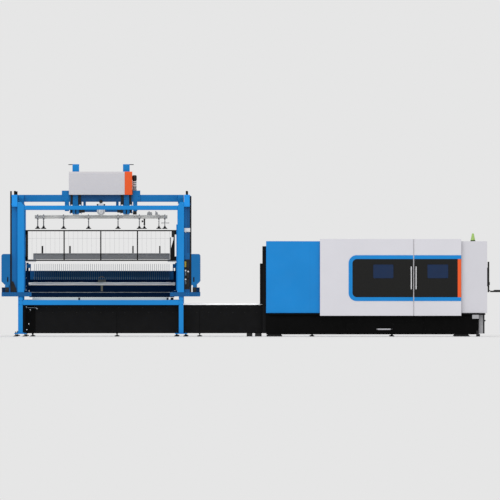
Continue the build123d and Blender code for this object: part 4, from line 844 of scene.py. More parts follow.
# Painted highlight: a pale steel strip draws the light caught on the carriage's upper edge.
bar(mesh, (TOWER - EDGE_HIGHLIGHT_HALF, TOWER + EDGE_HIGHLIGHT_HALF), EDGE_HIGHLIGHT_Y, EDGE_HIGHLIGHT_Z, 1)
piece("rake_edge_highlight_strip", mesh, plate_steel, "rake_carriage")

# %% [markdown]
# ## Feet and wedge mounts
# The tower and the table stand on round levelling pads with threaded spindles and lock nuts, and the heavy
# base on steel wedge mounts. A thread is drawn as a row of small rings, which reads the same from this far.

# %% Levelling feet
PAD = [(56, 0), (58, 2), (58, 14), (52, 18), (34, 24), (30, 27)]
PAD_TOP = 27
THREAD_PITCH = 3
TOWER_FOOT, TABLE_FOOT, BASE_FOOT = 60, 77, 50
TOWER_NUT = [(19, 80), (19, 94), (17, 96), (11, 96), (11, 118), (9, 120)]
LEG_OUT, LEG_Y = 1929.5, (-1150, 3150)
TABLE_START, TABLE_LONG, TABLE_FOOT_Y = -5785, 5694, 854
TABLE_SHARES = (0.03, 0.386, 0.735)
BASE_LONG, BASE_SHARES = 5102, (0.216, 0.5923)
TABLE_BLOCKS, TABLE_BLOCK_Y = ((-470, -331), (-269, -110)), (804, 904)
WEDGES = ((7, 386), (4507, 4884))
WEDGE_WIDE = 280
WEDGE_START = {-1: -1300, 1: 1120}  # front and back row
CORNER_BLOCK = ((5040, 5098), (-1372, -1250), (0, 140))
CORNER_TOE = ((5098, 5131), (-1350, -1270), (0, 60))


def levelling_foot(mesh, x, y, top):
    """A pad, a threaded spindle and a lock nut under the piece it carries."""
    turned(mesh, PAD, (x, y, 0), sides=32)
    thread = [(9, PAD_TOP - 2)]
    for z in range(PAD_TOP, top - 16, THREAD_PITCH):
        thread += [(9, z), (11, z + 1.5), (9, z + 3)]
    turned(mesh, thread + [(9, top - 15)], (x, y, 0), sides=16)
    turned(mesh, [(17, top - 16), (19, top - 14), (19, top - 2), (17, top)], (x, y, 0), sides=6)


mesh = bmesh.new()
for side in SIDES:
    for y in LEG_Y:
        for x in (tower(side, LEG_OUT) - 110, tower(side, LEG_OUT) + 110):
            levelling_foot(mesh, x, y, TOWER_FOOT)
            turned(mesh, TOWER_NUT, (x, y, 0), sides=6)
    for share in TABLE_SHARES:
        levelling_foot(mesh, TABLE_START + share * TABLE_LONG, side * TABLE_FOOT_Y, TABLE_FOOT)
    for x in TABLE_BLOCKS:
        bar(mesh, x, [side * y for y in TABLE_BLOCK_Y], (0, TABLE_FOOT), 4)
    near, far = WEDGE_START[side], WEDGE_START[side] + WEDGE_WIDE
    for x0, x1 in WEDGES:
        wedge = [(x0, 0), (x1, 0), (x1, 14), (x1 - 34, BASE_FOOT), (x0 + 34, BASE_FOOT), (x0, 14)]
        plate(mesh, wedge, "Y", (near, far))
        bolt(mesh, ((x0 + x1) / 2, near if side < 0 else far, 24), (0, side, 0), 24)
    for share in BASE_SHARES:
        levelling_foot(mesh, share * BASE_LONG, near + WEDGE_WIDE / 2, BASE_FOOT)
bar(mesh, *CORNER_BLOCK, 4)
bar(mesh, *CORNER_TOE, 4)
piece("feet_and_wedges", mesh, black_plastic, "frame", ["levelling_feet"])

# %% [markdown]
# ## Pallet slats
# Each slat is cut from 4 mm plate with a row of points, so that a sheet touches it in as few places as
# possible. One toothed outline, drawn out by the thickness, is repeated along the pallet. Black clamps sit
# on the front edge of the upper pallet.

# %% Toothed slats
SLATS = 65
SLAT_PITCH, SLAT_THICK, SLAT_HIGH = 50, 4, 75
POINT_PITCH, POINT_HIGH, POINT_FLAT = 36, 24, 4
FRAME_HIGH, FRAME_GAP, END_PLAIN = 76, 14, 30
PALLET_B_AWAY = 6172
CLAMPS, CLAMP_Y, CLAMP_Z = ((-4515, -4470), (-2392, -2352), (-2299, -2225)), (-884, -870), (868, 934)


def slats(name, x, low, half_wide, body, node):
    """The toothed slats of a pallet."""
    foot = low + FRAME_HIGH
    top = foot + SLAT_HIGH
    root = top - POINT_HIGH
    half = half_wide - FRAME_GAP
    toothed = 2 * (half - END_PLAIN)
    count = int(toothed / POINT_PITCH)
    pitch = toothed / count
    outline = [(-half, foot), (half, foot), (half - 18, root)]
    y = half - END_PLAIN
    for _ in range(count):
        middle = y - pitch * 0.5
        outline += [(y, root), (middle + POINT_FLAT / 2, top), (middle - POINT_FLAT / 2, top)]
        y -= pitch
    outline += [(y, root), (18 - half, root)]
    mesh = bmesh.new()
    for i in range(SLATS):
        middle = x + (i - SLATS // 2) * SLAT_PITCH
        plate(mesh, outline, "X", (middle - SLAT_THICK / 2, middle + SLAT_THICK / 2))
    piece(name, mesh, plate_steel, body, [node])


slats("toothed_slats_a", TOWER, 790, 870, "pallet_a", "pallet_a_slats")
slats("toothed_slats_b", TOWER + PALLET_B_AWAY, 600, 785, "pallet_b", "pallet_b_slats")
mesh = bmesh.new()
for x in CLAMPS:
    bar(mesh, x, CLAMP_Y, CLAMP_Z, 3)
piece("pallet_clamps", mesh, black_plastic, "pallet_a")

# %% [markdown]
# ## Gate wires and latch
# The gate's infill is welded wire, 3 mm thick, which catches only a thin line of light. Round wires in
# place of the square ones of the solid give that line. Rollers run in the guides, an end bar closes the
# left side, and a latch box with a slim bar the right one.

# %% Gate wires
WIRE = 1.5
GATE_HALF, GATE_BORDER = 1776, 15
BAYS, WIRES_PER_BAY = 4, 7
CROSS_WIRE_Z = 2354
low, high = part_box("gate_mesh")
wire_y = ((low.y + high.y) / 2 - ORIGIN.y) * 1000
reach = GATE_HALF - GATE_BORDER
bay_wide = 2 * reach / BAYS
mesh = bmesh.new()
for bay in range(BAYS):
    left = TOWER - reach + bay * bay_wide
    for i in range(1, WIRES_PER_BAY + 1):
        x = left + i * bay_wide / (WIRES_PER_BAY + 1)
        turned(mesh, [(WIRE, 1842), (WIRE, 2526)], (x, wire_y, 0), sides=8)
    cross = [(WIRE, left + GATE_BORDER), (WIRE, left + bay_wide - GATE_BORDER)]
    turned(mesh, cross, (0, wire_y, CROSS_WIRE_Z), LOOK_RIGHT, 8)
piece("gate_wires", mesh, grey_coat, "gate", ["gate_mesh"])

# %% Rollers, end bar and latch
ROLLER = [(16, 0), (18, 2), (18, 10), (14, 12)]
ROLLER_OUT, ROLLER_Z = 1794, (1867, 2501)
END_BAR_OUT, END_BAR_Z = (1774, 1808), (1812, 2556)
LATCH_OUT, LATCH_Z = (1700, 1776), (2384, 2532)
LATCH_BAR_OUT, LATCH_BAR_Z = (1664, 1684), (1840, 2380)
LATCH_FACE = wire_y - 17
mesh = bmesh.new()
for side in SIDES:
    for z in ROLLER_Z:
        turned(mesh, ROLLER, (tower(side, ROLLER_OUT), wire_y + 18, z), LOOK_BACK, 24)
bar(mesh, span(-1, *END_BAR_OUT), (wire_y - 15, wire_y + 15), END_BAR_Z, 4)
bar(mesh, span(1, *LATCH_OUT), (LATCH_FACE, wire_y + 20), LATCH_Z, 4)
bar(mesh, span(1, *LATCH_BAR_OUT), (wire_y + 15, wire_y + 24), LATCH_BAR_Z, 3)
bolts(mesh, [tower(1, 1738)], [LATCH_FACE], (2410, 2505), LOOK_FRONT, 14)
piece("gate_rollers", mesh, black_plastic, "gate")

# %% [markdown]
# ## Tower fittings
# The right front post carries a pale sensor box and the compressed-air unit with its yellow lock-out valve,
# regulator, gauges and bowls. The runway ends have rubber buffers, and painted bolts and cover plates
# finish the arms and the beams; the plates on the arms and the covers on the right post are a darker blue
# as painted shade. Each drive housing is a folded box with cover panels, a rubber-edged slot, a drive and a
# terminal box in front; the panels' darker blue and the boxes' navy are painted shade. The cassette rests on
# pale pads and its pins have rubber sleeves.

# %% Sensor box, slots and buffers
POST_FACE = -1070
SENSOR_BOX_FACE = POST_FACE - 54
BUFFER_Z = (3403, 3496)
BUFFER_LONG = 78
BUFFER = [(22, 0), (22, 10), (18, 18), (8, 22)]
mesh = bmesh.new()
bar(mesh, span(1, 2002, 2150), (SENSOR_BOX_FACE, POST_FACE), (2508, 2604), 8)
bar(mesh, span(1, 2020, 2132), (SENSOR_BOX_FACE - 4, SENSOR_BOX_FACE), (2526, 2586), 3)
turned(mesh, [(10, 0), (10, 14), (7, 16), (7, 22)], (tower(1, 2040), -1097, 2508), (0, 0, -1), 12)
piece("light_barrier_box", mesh, white_plastic, "frame")
mesh = bmesh.new()
for side in SIDES:
    plate(mesh, rounded(span(side, 2218, 2249), (1308, 1428), 15), "Y", (-1197, -1193))
    for y, face, look in ((-1074, -1074 + BUFFER_LONG, LOOK_BACK), (2996, 2996, LOOK_FRONT)):
        bar(mesh, span(side, 2040, 2086), (y, y + BUFFER_LONG), BUFFER_Z, 6)
        turned(mesh, BUFFER, (tower(side, 2063), face, 3450), look, 28)
piece("slots_and_buffers", mesh, black_rubber, "frame")

# %% Compressed-air unit
AIR_BACK = POST_FACE - 6
AIR_PLATE_OUT, AIR_PLATE_Z = (2004, 2132), (1130, 1850)
STAGES = (1250, 1460)
REGULATOR_OUT, MANIFOLD_OUT = (2012, 2060), (2070, 2126)
JUNCTION_OUT, JUNCTION_Z = (2066, 2130), (1640, 1790)
BOWL_X = tower(1, 2036)
BOWL_Y = -1100
VALVE_FRONT = -1116
LOCKOUT_OUT, LOCKOUT_Z = (2006, 2052), (1664, 1800)
GAUGE = [(19, 0), (21, 2), (21, 10), (18, 12), (17, 9), (2, 9)]
GAUGE_PLACES = ((2036, 1370), (2036, 1582), (2098, 1560))
mesh = bmesh.new()
bar(mesh, span(1, *AIR_PLATE_OUT), (AIR_BACK, POST_FACE), AIR_PLATE_Z, 2)
for z in STAGES:
    bar(mesh, span(1, *REGULATOR_OUT), (-1124, AIR_BACK), (z + 90, z + 150), 5)
    knob = [(16, z + 150), (20, z + 154), (20, z + 176), (14, z + 180)]
    turned(mesh, knob, (BOWL_X, BOWL_Y, 0), sides=24)
    bar(mesh, span(1, *MANIFOLD_OUT), (-1118, AIR_BACK), (z - 60, z + 130), 6)
bar(mesh, span(1, *JUNCTION_OUT), (-1112, AIR_BACK), JUNCTION_Z, 6)
piece("air_unit", mesh, graphite_coat, "frame")
mesh = bmesh.new()
for z in STAGES:
    bowl = [(8, z), (18, z + 4), (21, z + 14), (21, z + 88), (19, z + 90)]
    turned(mesh, bowl, (BOWL_X, BOWL_Y, 0), sides=28)
piece("air_bowls", mesh, smoked_bowl, "frame")
mesh = bmesh.new()
bar(mesh, span(1, *LOCKOUT_OUT), (VALVE_FRONT, AIR_BACK), LOCKOUT_Z, 6)
turned(mesh, [(17, 0), (19, 3), (19, 16), (15, 20)], (tower(1, 2029), VALVE_FRONT, 1732), LOOK_FRONT, 24)
bar(mesh, span(1, 2022, 2036), (VALVE_FRONT - 28, VALVE_FRONT - 16), (1690, 1774), 4)
piece("lockout_valve", mesh, yellow_plastic, "frame")
mesh = bmesh.new()
for out, z in GAUGE_PLACES:
    turned(mesh, GAUGE, (tower(1, out), -1120, z), LOOK_FRONT, 28)
piece("air_gauges", mesh, white_plastic, "frame")

# %% Bolts, painted-shade arm plates and runway end plates
ARM_FACE = -1234
ARM_BOLT_Z = (985, 1036)
RUNWAY_SIDE = 2136
RUNWAY_BOLT_Y = (-1155, -960, 1230, 1370, 3020, 3155)
mesh = bmesh.new()
twin_bolts(mesh, (1690, 1730, 2060, 2110, 2340), ARM_FACE, ARM_BOLT_Z, 18)
twin_bolts(mesh, (1885, 1955), -1205.5, (770, 862, 940), 18)
for side in SIDES:
    bolts(mesh, [tower(side, RUNWAY_SIDE)], RUNWAY_BOLT_Y, (3175, 3370) + ARM_BOLT_Z, (side, 0, 0), 24)
piece("tower_bolts", mesh, deep_blue_shade_coat, "frame")
mesh = bmesh.new()
# Painted shade: plates of the darker arm blue on the arms' front faces.
twin(mesh, (1664, 2380), (ARM_FACE, ARM_FACE + 5), (961, 1060), 2)
piece("arm_shade_plates", mesh, arm_shade_coat, "frame")
mesh = bmesh.new()
twin(mesh, (2001, 2135), (ARM_FACE, ARM_FACE + 5), (3116, 3402), 3)
twin_bolts(mesh, (2031, 2105), ARM_FACE, (3150, 3368), 18)
piece("runway_end_plates", mesh, bright_blue_coat, "frame")

# %% Drive housings with their cover panels
HOUSING = [(2177, 1230), (2293, 1230), (2382, 1319), (2382, 1950), (2355, 1980), (2177, 1980)]
PANELS, PANEL_PITCH, PANEL_LONG = 6, 730, 724
ARM_TOP = 1061
DRIVE = [(36, 0), (38, 3), (38, 20), (30, 24), (16, 26)]
mesh = bmesh.new()
for side in SIDES:
    plate(mesh, [(tower(side, out), z) for out, z in HOUSING], "Y", (-1195, 3195))
    for i in range(PANELS):
        y = -1187 + i * PANEL_PITCH
        bar(mesh, span(side, 2380, 2385), (y, y + PANEL_LONG), (1332, 1938), 2)
# Painted shade: the housing panels take the darker housing blue.
piece("drive_housing_panels", mesh, housing_shade_coat, "frame", ["drive_housings"])
mesh = bmesh.new()
twin(mesh, (2204, 2292), (-1216, -1196), (ARM_TOP, 1180), 6)
for side in SIDES:
    turned(mesh, DRIVE, (tower(side, 2248), -1214, 1122), LOOK_FRONT, 32)
bar(mesh, span(1, 2136.5, 2176.5), (-1068, -1012), (ARM_TOP + 1, 1998), 3)
for z in (1200, 1500, 1800):
    bar(mesh, span(1, 2134, 2178), (-1071, -1010), (z, z + 24), 2)
piece("housing_drives", mesh, graphite_coat, "frame")
mesh = bmesh.new()
twin(mesh, (2296, 2376), (-1206, -1130), (ARM_TOP, 1178), 6)
twin(mesh, (2304, 2368), (-1210, -1206), (1076, 1164), 2)
piece("housing_terminal_boxes", mesh, navy_shade_coat, "frame")

# %% Corner drive, rail stops and painted-shade post covers
CORNER_FACE = -1112
GUSSET = [(2172, 1062), (2024, 1062), (2030, 1150), (2096, 1320), (2172, 1330)]
CORNER_HUB = [(26, 0), (30, 3), (30, 14), (22, 18), (9, 18), (9, 24)]
STOP_FACE, SHADE_CHANNEL_FACE = -1078, -1077
mesh = bmesh.new()
plate(mesh, [(tower(-1, out), z) for out, z in GUSSET], "Y", (CORNER_FACE, POST_FACE + 1))
turned(mesh, CORNER_HUB, (tower(-1, 2128), CORNER_FACE, 1262), LOOK_FRONT, 32)
for out, z in ((2060, 1090), (2140, 1090), (2140, 1180)):
    bolt(mesh, (tower(-1, out), CORNER_FACE, z), LOOK_FRONT, 16)
piece("left_corner_drive", mesh, graphite_coat, "frame")
mesh = bmesh.new()
twin(mesh, (1722, 1838), (STOP_FACE, -1070.5), (ARM_TOP, 1106), 2)
twin_bolts(mesh, (1746, 1814), STOP_FACE, [1083], 14)
piece("rail_end_stops", mesh, navy_shade_coat, "frame")
mesh = bmesh.new()
# Painted shade: covers of the darker arm blue on the right post.
for z in ((2006, 2500), (2612, 3112)):
    bar(mesh, span(1, 2072, 2132), (SHADE_CHANNEL_FACE, POST_FACE + 1), z, 3)
    rows = [z[0] + share * (z[1] - z[0]) for share in (0.1, 0.5, 0.9)]
    bolts(mesh, [tower(1, 2102)], [SHADE_CHANNEL_FACE], rows, LOOK_FRONT, 12)
piece("post_shade_covers", mesh, arm_shade_coat, "frame")

# %% Cassette pads and sleeves
PIN_HALF = 13.5
CASSETTE_HALF = 1644
PIN_SHARES = (-0.87, -0.465, 0.46, 0.855)
mesh = bmesh.new()
for y in (1254, 2956):
    twin(mesh, (1598, 1842), (y - 5, y + 1), (1788, 1848), 2)
piece("cassette_arm_pads", mesh, white_plastic, "frame")
mesh = bmesh.new()
for share in PIN_SHARES:
    x = TOWER + share * CASSETTE_HALF
    for y in (1382, 2878):
        bar(mesh, (x - PIN_HALF, x + PIN_HALF), (y - PIN_HALF, y + PIN_HALF), (1999, 2174), 3)
piece("cassette_sleeves", mesh, black_rubber, "frame")

# %% [markdown]
# ## Shuttle table
# The table's left end is closed by a bolted cover, with a deeper black block and a few bright screws and an
# eye rod in front. Rows of dark bolts keep the long black side from looking like one wall.

# %% Shuttle bolts, end cover and end block
LOWER_FACE, UPPER_FACE = 920, 908
TABLE_END = -5850
BLOCK_X = (-5780, -5541)
BRIGHT = ((-5758, -912, 708), (-5666, -912, 640), (-5508, -908, 670), (-5702, -924, 302), (-5750, -924, 160))
BOLT_ROW = [-5700 + i * 288 for i in range(20)]
mesh = bmesh.new()
for place in BRIGHT:
    bolt(mesh, place, LOOK_FRONT, 22)
turned(mesh, [(5, -5750), (5, -5516)], (0, -916, 690), LOOK_RIGHT, 12)
piece("shuttle_bright_bolts", mesh, cast_alloy, "frame")
mesh = bmesh.new()
for side in SIDES:
    bolts(mesh, BOLT_ROW, [side * LOWER_FACE], (130, 575), (0, side, 0), 16)
    bolts(mesh, [x + 140 for x in BOLT_ROW], [side * UPPER_FACE], [690], (0, side, 0), 18)
piece("shuttle_bolts", mesh, black_plastic, "frame")
mesh = bmesh.new()
bar(mesh, (TABLE_END, BLOCK_X[0]), (-906, 906), (94, 752), 6)
bolts(mesh, [TABLE_END], (-820, -410, 0, 410, 820), (140, 700), (-1, 0, 0), 18)
piece("shuttle_end_cover", mesh, black_coat, "frame")
mesh = bmesh.new()
bar(mesh, BLOCK_X, (-LOWER_FACE - 4, -LOWER_FACE + 1), (100, 612), 2)
bar(mesh, BLOCK_X, (-UPPER_FACE - 4, -UPPER_FACE + 1), (616, 734), 2)
piece("shuttle_end_block", mesh, base_coat, "frame")

# %% [markdown]
# ## Door handles, borders and seals
# The sliding doors have upright tube handles on short posts, a blue painted border with large round
# corners, pale strips where they meet and rubber seals round the windows. The border of the left door is
# one C-shaped plate, so its outline is drawn once with fine arcs.

# %% Door handles
HANDLE_Y = -1543
TUBE = [(7, 1133), (11, 1135), (13, 1140), (13, 1675), (11, 1680), (7, 1682)]
HANDLE_POST = [(10, 0), (10, 30), (15, 34), (18, 36), (18, 39)]


def door_handle(name, x, body, node):
    """A tube handle with rounded ends on two posts with flanges."""
    mesh = bmesh.new()
    turned(mesh, TUBE, (x, HANDLE_Y, 0), sides=36)
    for z in (1193, 1622):
        turned(mesh, HANDLE_POST, (x, HANDLE_Y, z), LOOK_BACK, 28)
    piece(name, mesh, handle_steel, body, [node])


door_handle("left_tube_handle", 3480, "door_left", "door_left_handle")
door_handle("right_tube_handle", 3596, "door_right", "door_right_handle")

# %% Border of the left door
BORDER_END = 3533
OUTER_X, OUTER_RADIUS, OUTER_Z = 2168, 190, (1042, 1761)
INNER_X, INNER_RADIUS, INNER_Z = 2176, 107, (1050, 1753)
border = [(BORDER_END, OUTER_Z[1] + OUTER_RADIUS)]
border += arc(OUTER_X, OUTER_Z[1], OUTER_RADIUS, 90, 180) + arc(OUTER_X, OUTER_Z[0], OUTER_RADIUS, 180, 270)
border += [(BORDER_END, OUTER_Z[0] - OUTER_RADIUS), (BORDER_END, INNER_Z[0] - INNER_RADIUS)]
border += arc(INNER_X, INNER_Z[0], INNER_RADIUS, 270, 180) + arc(INNER_X, INNER_Z[1], INNER_RADIUS, 180, 90)
border.append((BORDER_END, INNER_Z[1] + INNER_RADIUS))
mesh = bmesh.new()
plate(mesh, border, "Y", (-1508, -1500))
piece("left_border", mesh, blue_coat, "door_left", ["door_left_trim"])

# %% Meeting strips of the doors
STRIP_WIDE = 6
STRIP_Y = (-1511, -1499)
left_low, left_high = [(corner - ORIGIN) * 1000 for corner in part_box("door_left_panel")]
right_low, right_high = [(corner - ORIGIN) * 1000 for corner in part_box("door_right_panel")]
left_z = (left_low.z + 2, left_high.z - 2)
mesh = bmesh.new()
bar(mesh, (left_high.x - STRIP_WIDE, left_high.x), STRIP_Y, left_z, 2)
bar(mesh, (left_high.x - 4, right_low.x - 2), (-1498, -1488), left_z, 1)
piece("left_meeting_strip", mesh, cover_coat, "door_left")
mesh = bmesh.new()
bar(mesh, (right_low.x, right_low.x + STRIP_WIDE), STRIP_Y, (right_low.z + 2, right_high.z - 2), 2)
piece("right_meeting_strip", mesh, cover_coat, "door_right")
print("gap between the doors in mm:", round(right_low.x - left_high.x, 1))

# %% Window seals
SEAL_WIDE = 9
WINDOW_RADIUS = 24
WINDOW_Z = (1399, 1728)


def window_seal(name, x, body):
    """A rubber ring round a window."""
    mesh = bmesh.new()
    outer_x, outer_z = [(low - SEAL_WIDE, high + SEAL_WIDE) for low, high in (x, WINDOW_Z)]
    outer = rounded(outer_x, outer_z, WINDOW_RADIUS + SEAL_WIDE)
    band(mesh, outer, rounded(x, WINDOW_Z, WINDOW_RADIUS), (-1507, -1503))
    piece(name, mesh, black_rubber, body)


window_seal("left_window_seal", (2568, 3053), "door_left")
window_seal("right_window_seal", (3869, 4366), "door_right")

# %% [markdown]
# ## Beacon
# The signal beacon is a ribbed green cap on a dark foot. The ribs spread the lamp's light, and they are
# turned as a row of shallow steps in the cap's profile.

# %% Beacon
BEACON = (4963, -1100, 0)
RIBS, RIB_PITCH = 16, 9.4
CAP_FOOT, CAP_HIGH = 2311, 166
CAP_RADIUS, CAP_TAPER = 55, 33
cap = [(54, 2310)]
for i in range(RIBS):
    z = CAP_FOOT + 3 + i * RIB_PITCH
    radius = CAP_RADIUS - CAP_TAPER * (z - CAP_FOOT) / CAP_HIGH
    cap += [(radius, z), (radius - 1.2, z + 5), (radius - 2.4, z + 7)]
cap += [(22, 2468), (17, 2474), (8, 2477)]
mesh = bmesh.new()
turned(mesh, cap, BEACON, sides=40)
piece("beacon_cap", mesh, green_lens, "frame", ["signal_beacon"])
mesh = bmesh.new()
turned(mesh, [(60, 2287), (60, 2302), (57, 2308), (50, 2311)], BEACON, sides=40)
piece("beacon_foot", mesh, graphite_coat, "frame")

# %% [markdown]
# ## Base, drawer and service column
# The base is closed by screwed plates. The scrap drawer has a folded front and a bright pull bar, and the
# grey service column has a dark cover plate, which paints the shade on its right side, and cable glands.

# %% Base plates and drawer front
BASE_FACE, BASE_BACK = -1363, 1464
PLATE_Z = (120, 480)
FRONT_PLATES = ((420, 1130), (1140, 1860), (3806, 4420), (4430, 5040))
BACK_PLATES = ((100, 1300), (1340, 2540), (2580, 3780), (3820, 5020))
ABOVE_DRAWER_X, ABOVE_DRAWER_Z = (1904, 3762), (345, 480)
DRAWER_SKIN = ((1906, 3760), (-1362.5, -1359.5), (106, 324))
PULL_X, PULL_POSTS, PULL_Z = (2668, 2988), (2661, 3005), 174
mesh = bmesh.new()
for x0, x1 in FRONT_PLATES:
    bar(mesh, (x0, x1), (BASE_FACE, BASE_FACE + 4), PLATE_Z, 2)
    bolts(mesh, (x0 + 30, x1 - 30), [BASE_FACE], (150, 450), LOOK_FRONT, 16)
bar(mesh, ABOVE_DRAWER_X, (BASE_FACE, BASE_FACE + 4), ABOVE_DRAWER_Z, 2)
for x0, x1 in BACK_PLATES:
    bar(mesh, (x0, x1), (BASE_BACK - 5, BASE_BACK), PLATE_Z, 2)
    bolts(mesh, (x0 + 40, x1 - 40), [BASE_BACK], (160, 440), LOOK_BACK, 16)
piece("base_plates", mesh, base_coat, "frame")
mesh = bmesh.new()
bar(mesh, *DRAWER_SKIN, 1.5)
piece("drawer_front_skin", mesh, base_coat, "drawer")
mesh = bmesh.new()
bar(mesh, PULL_X, (-1399, -1380), (PULL_Z - 18, PULL_Z + 18), 6)
for x in PULL_POSTS:
    turned(mesh, [(16, 0), (16, 3), (10, 5), (10, 20)], (x, -1361, PULL_Z), LOOK_FRONT, 24)
piece("drawer_pull", mesh, grip_steel, "drawer")

# %% Painted-shade cover and glands of the service column
COLUMN_FACE = -1254
COLUMN_SHADE_X, COLUMN_SHADE_Z = (5204, 5240), (74, 558)
GLAND = [(20, 0), (20, 8), (15, 12), (15, 24)]
mesh = bmesh.new()
# Painted shade: a dark plate on the column's right side.
bar(mesh, COLUMN_SHADE_X, (COLUMN_FACE, COLUMN_FACE + 5), COLUMN_SHADE_Z, 2)
for z in (110, 300, 500):
    turned(mesh, [(6, 0), (6, 2), (4, 3)], (5222, COLUMN_FACE, z), LOOK_FRONT, 16)
for y in (-1200, -1130, -1060):
    turned(mesh, GLAND, (5242, y, 380), LOOK_RIGHT, 12)
piece("service_shade_cover", mesh, graphite_coat, "frame")

# %% [markdown]
# ## Cabin shell
# The shell is folded sheet: seams between panels, a screwed roof with lifting eyes and two low extraction
# collars, and service doors with louvres and swing handles at the back and on the right. None of it stands
# above the doors' upper edge.

# %% Seams and roof
SEAM_HALF = 1.5
MODULE_SEAM_X = 1051
ROOF, STRIP_TOP = 2286, 2293
COLLAR = [(190, 2286), (190, 2292), (160, 2294), (160, 2334), (152, 2334), (152, 2300), (30, 2298)]
EYE = [(22, 2287), (22, 2296), (12, 2299), (9, 2306)]
EYE_Z, EYE_OUTER, EYE_INNER, EYE_POINTS = 2318, 14, 8, 28
mesh = bmesh.new()
bar(mesh, (MODULE_SEAM_X - SEAM_HALF, MODULE_SEAM_X + SEAM_HALF), (-1400.6, -1399.6), (572, 2240), 0.3)
for x in (430, 860):
    bar(mesh, (x - SEAM_HALF, x + SEAM_HALF), (1499.6, 1500.6), (568, 2283), 0.3)
piece("module_seams", mesh, deep_blue_shade_coat, "frame")
mesh = bmesh.new()
for x in (2140, 2990, 3840):
    bar(mesh, (x - 20, x + 20), (-1330, 1490), (ROOF, STRIP_TOP), 2)
    for y in range(-1250, 1450, 270):
        turned(mesh, [(7, 0), (7, 3), (5, 4)], (x, y, STRIP_TOP), LOOK_UP, 12)
for x in (2560, 3420):
    turned(mesh, COLLAR, (x, 620, 0), sides=56)
piece("roof_strips_and_collars", mesh, white_coat, "frame")
mesh = bmesh.new()
for x in (1420, 4560):
    for y in (-1200, 1360):
        turned(mesh, EYE, (x, y, 0), sides=24)
        ring, hole = [circle(x, EYE_Z, radius, EYE_POINTS) for radius in (EYE_OUTER, EYE_INNER)]
        band(mesh, ring, hole, (y - 4, y + 4))
piece("lifting_eyes", mesh, zinc_steel, "frame")

# %% Service doors
BACK_DOORS = ((1400, 2430), (2470, 3500), (3540, 4570))
BACK_FACE, SIDE_FACE = 1506, 5306
DOOR_Z = (640, 2190)
LOUVRE_Z = [760 + i * 26 for i in range(14)]
LOUVRE_HIGH, LOUVRE_DEEP = 18, 8
HANDLE_Z, GRIP_Z = (1320, 1500), (1340, 1470)


def louvres(mesh, face, axis, ends):
    """Slanted slots, one above the other, on a door's face."""
    for z in LOUVRE_Z:
        plate(mesh, [(face, z), (face, z + LOUVRE_HIGH), (face + LOUVRE_DEEP, z)], axis, ends)


mesh = bmesh.new()
handles = bmesh.new()
for x0, x1 in BACK_DOORS:
    bar(mesh, (x0, x1), (BACK_FACE - 7, BACK_FACE), DOOR_Z, 4)
    louvres(mesh, BACK_FACE, "X", (x0 + 120, x1 - 120))
    for z in (760, 2060):
        turned(mesh, [(10, z - 40), (10, z + 40)], (x0 + 2, 1508, 0), sides=20)
    bar(handles, (x1 - 70, x1 - 40), (BACK_FACE, BACK_FACE + 8), HANDLE_Z, 4)
    bar(handles, (x1 - 64, x1 - 46), (BACK_FACE + 8, BACK_FACE + 18), GRIP_Z, 4)
bar(mesh, (SIDE_FACE - 5, SIDE_FACE), (-520, 1380), DOOR_Z, 4)
louvres(mesh, SIDE_FACE, "Y", (-380, 1240))
bar(handles, (SIDE_FACE, SIDE_FACE + 8), (-480, -450), HANDLE_Z, 4)
bar(handles, (SIDE_FACE + 8, SIDE_FACE + 18), (-474, -456), GRIP_Z, 4)
piece("service_doors", mesh, white_coat, "frame")
piece("service_door_handles", handles, black_plastic, "frame")

# %% [markdown]
# ## Operator panel and keyboard
# The panel faces right: a glass screen in a bezel, a row of buttons, a stop button on a yellow ring inside
# a guard collar and a key switch. The folding tray carries a keyboard with separate keycaps and a pointer
# pad. No key has a mark.

# %% Screen, buttons and keys
PANEL_FACE = 5356
SCREEN = ((5349, 5352), (-1186, -714), (1334, 1759))
BUTTONS, BUTTON_PITCH, BUTTON_Z = 6, 58, 1290
BUTTON = [(13, 0), (15, 1), (15, 5), (11, 6), (11, 10), (9, 11)]
KEY_SWITCH = [(17, 0), (17, 6), (12, 8), (12, 16), (10, 17)]
STOP = (PANEL_FACE, -810, 1270)
STOP_COLLAR = [(30, 0), (35, 0), (35, 15), (33, 17), (31, 15), (31, 2)]
STOP_BUTTON = [(11, 3), (11, 6), (20, 7), (21, 10), (19, 13), (12, 15)]
KEY_ROWS, KEYS, KEY_PITCH, KEY_WIDE = 6, 15, 24, 19
TRAY_TOP, KEY_TOP = 1112, 1119
POINTER_PAD = ((5640, 5700), (-1060, -920), (TRAY_TOP, TRAY_TOP + 3))
KEY_BLOCK = ((5500, 5620), (-780, -735), (TRAY_TOP, KEY_TOP))
mesh = bmesh.new()
bar(mesh, *SCREEN, 1)
piece("panel_screen", mesh, black_acrylic, "frame")
mesh = bmesh.new()
for i in range(BUTTONS):
    turned(mesh, BUTTON, (PANEL_FACE, -1160 + i * BUTTON_PITCH, BUTTON_Z), LOOK_RIGHT, 28)
turned(mesh, KEY_SWITCH, (PANEL_FACE, -740, BUTTON_Z), LOOK_RIGHT, 28)
for z in (1300, 1770):
    for y in (-1205, -695):
        turned(mesh, [(5, 0), (5, 1.5), (3, 2)], (PANEL_FACE, y, z), LOOK_RIGHT, 16)
piece("panel_buttons", mesh, black_plastic, "frame")
mesh = bmesh.new()
turned(mesh, [(30, 0), (30, 3), (28, 4)], STOP, LOOK_RIGHT, 36)
piece("stop_ring", mesh, yellow_plastic, "frame")
mesh = bmesh.new()
turned(mesh, STOP_COLLAR, STOP, LOOK_RIGHT, 40)
piece("stop_collar", mesh, graphite_coat, "frame")
mesh = bmesh.new()
turned(mesh, STOP_BUTTON, STOP, LOOK_RIGHT, 36)
piece("stop_button", mesh, red_plastic, "frame")
mesh = bmesh.new()
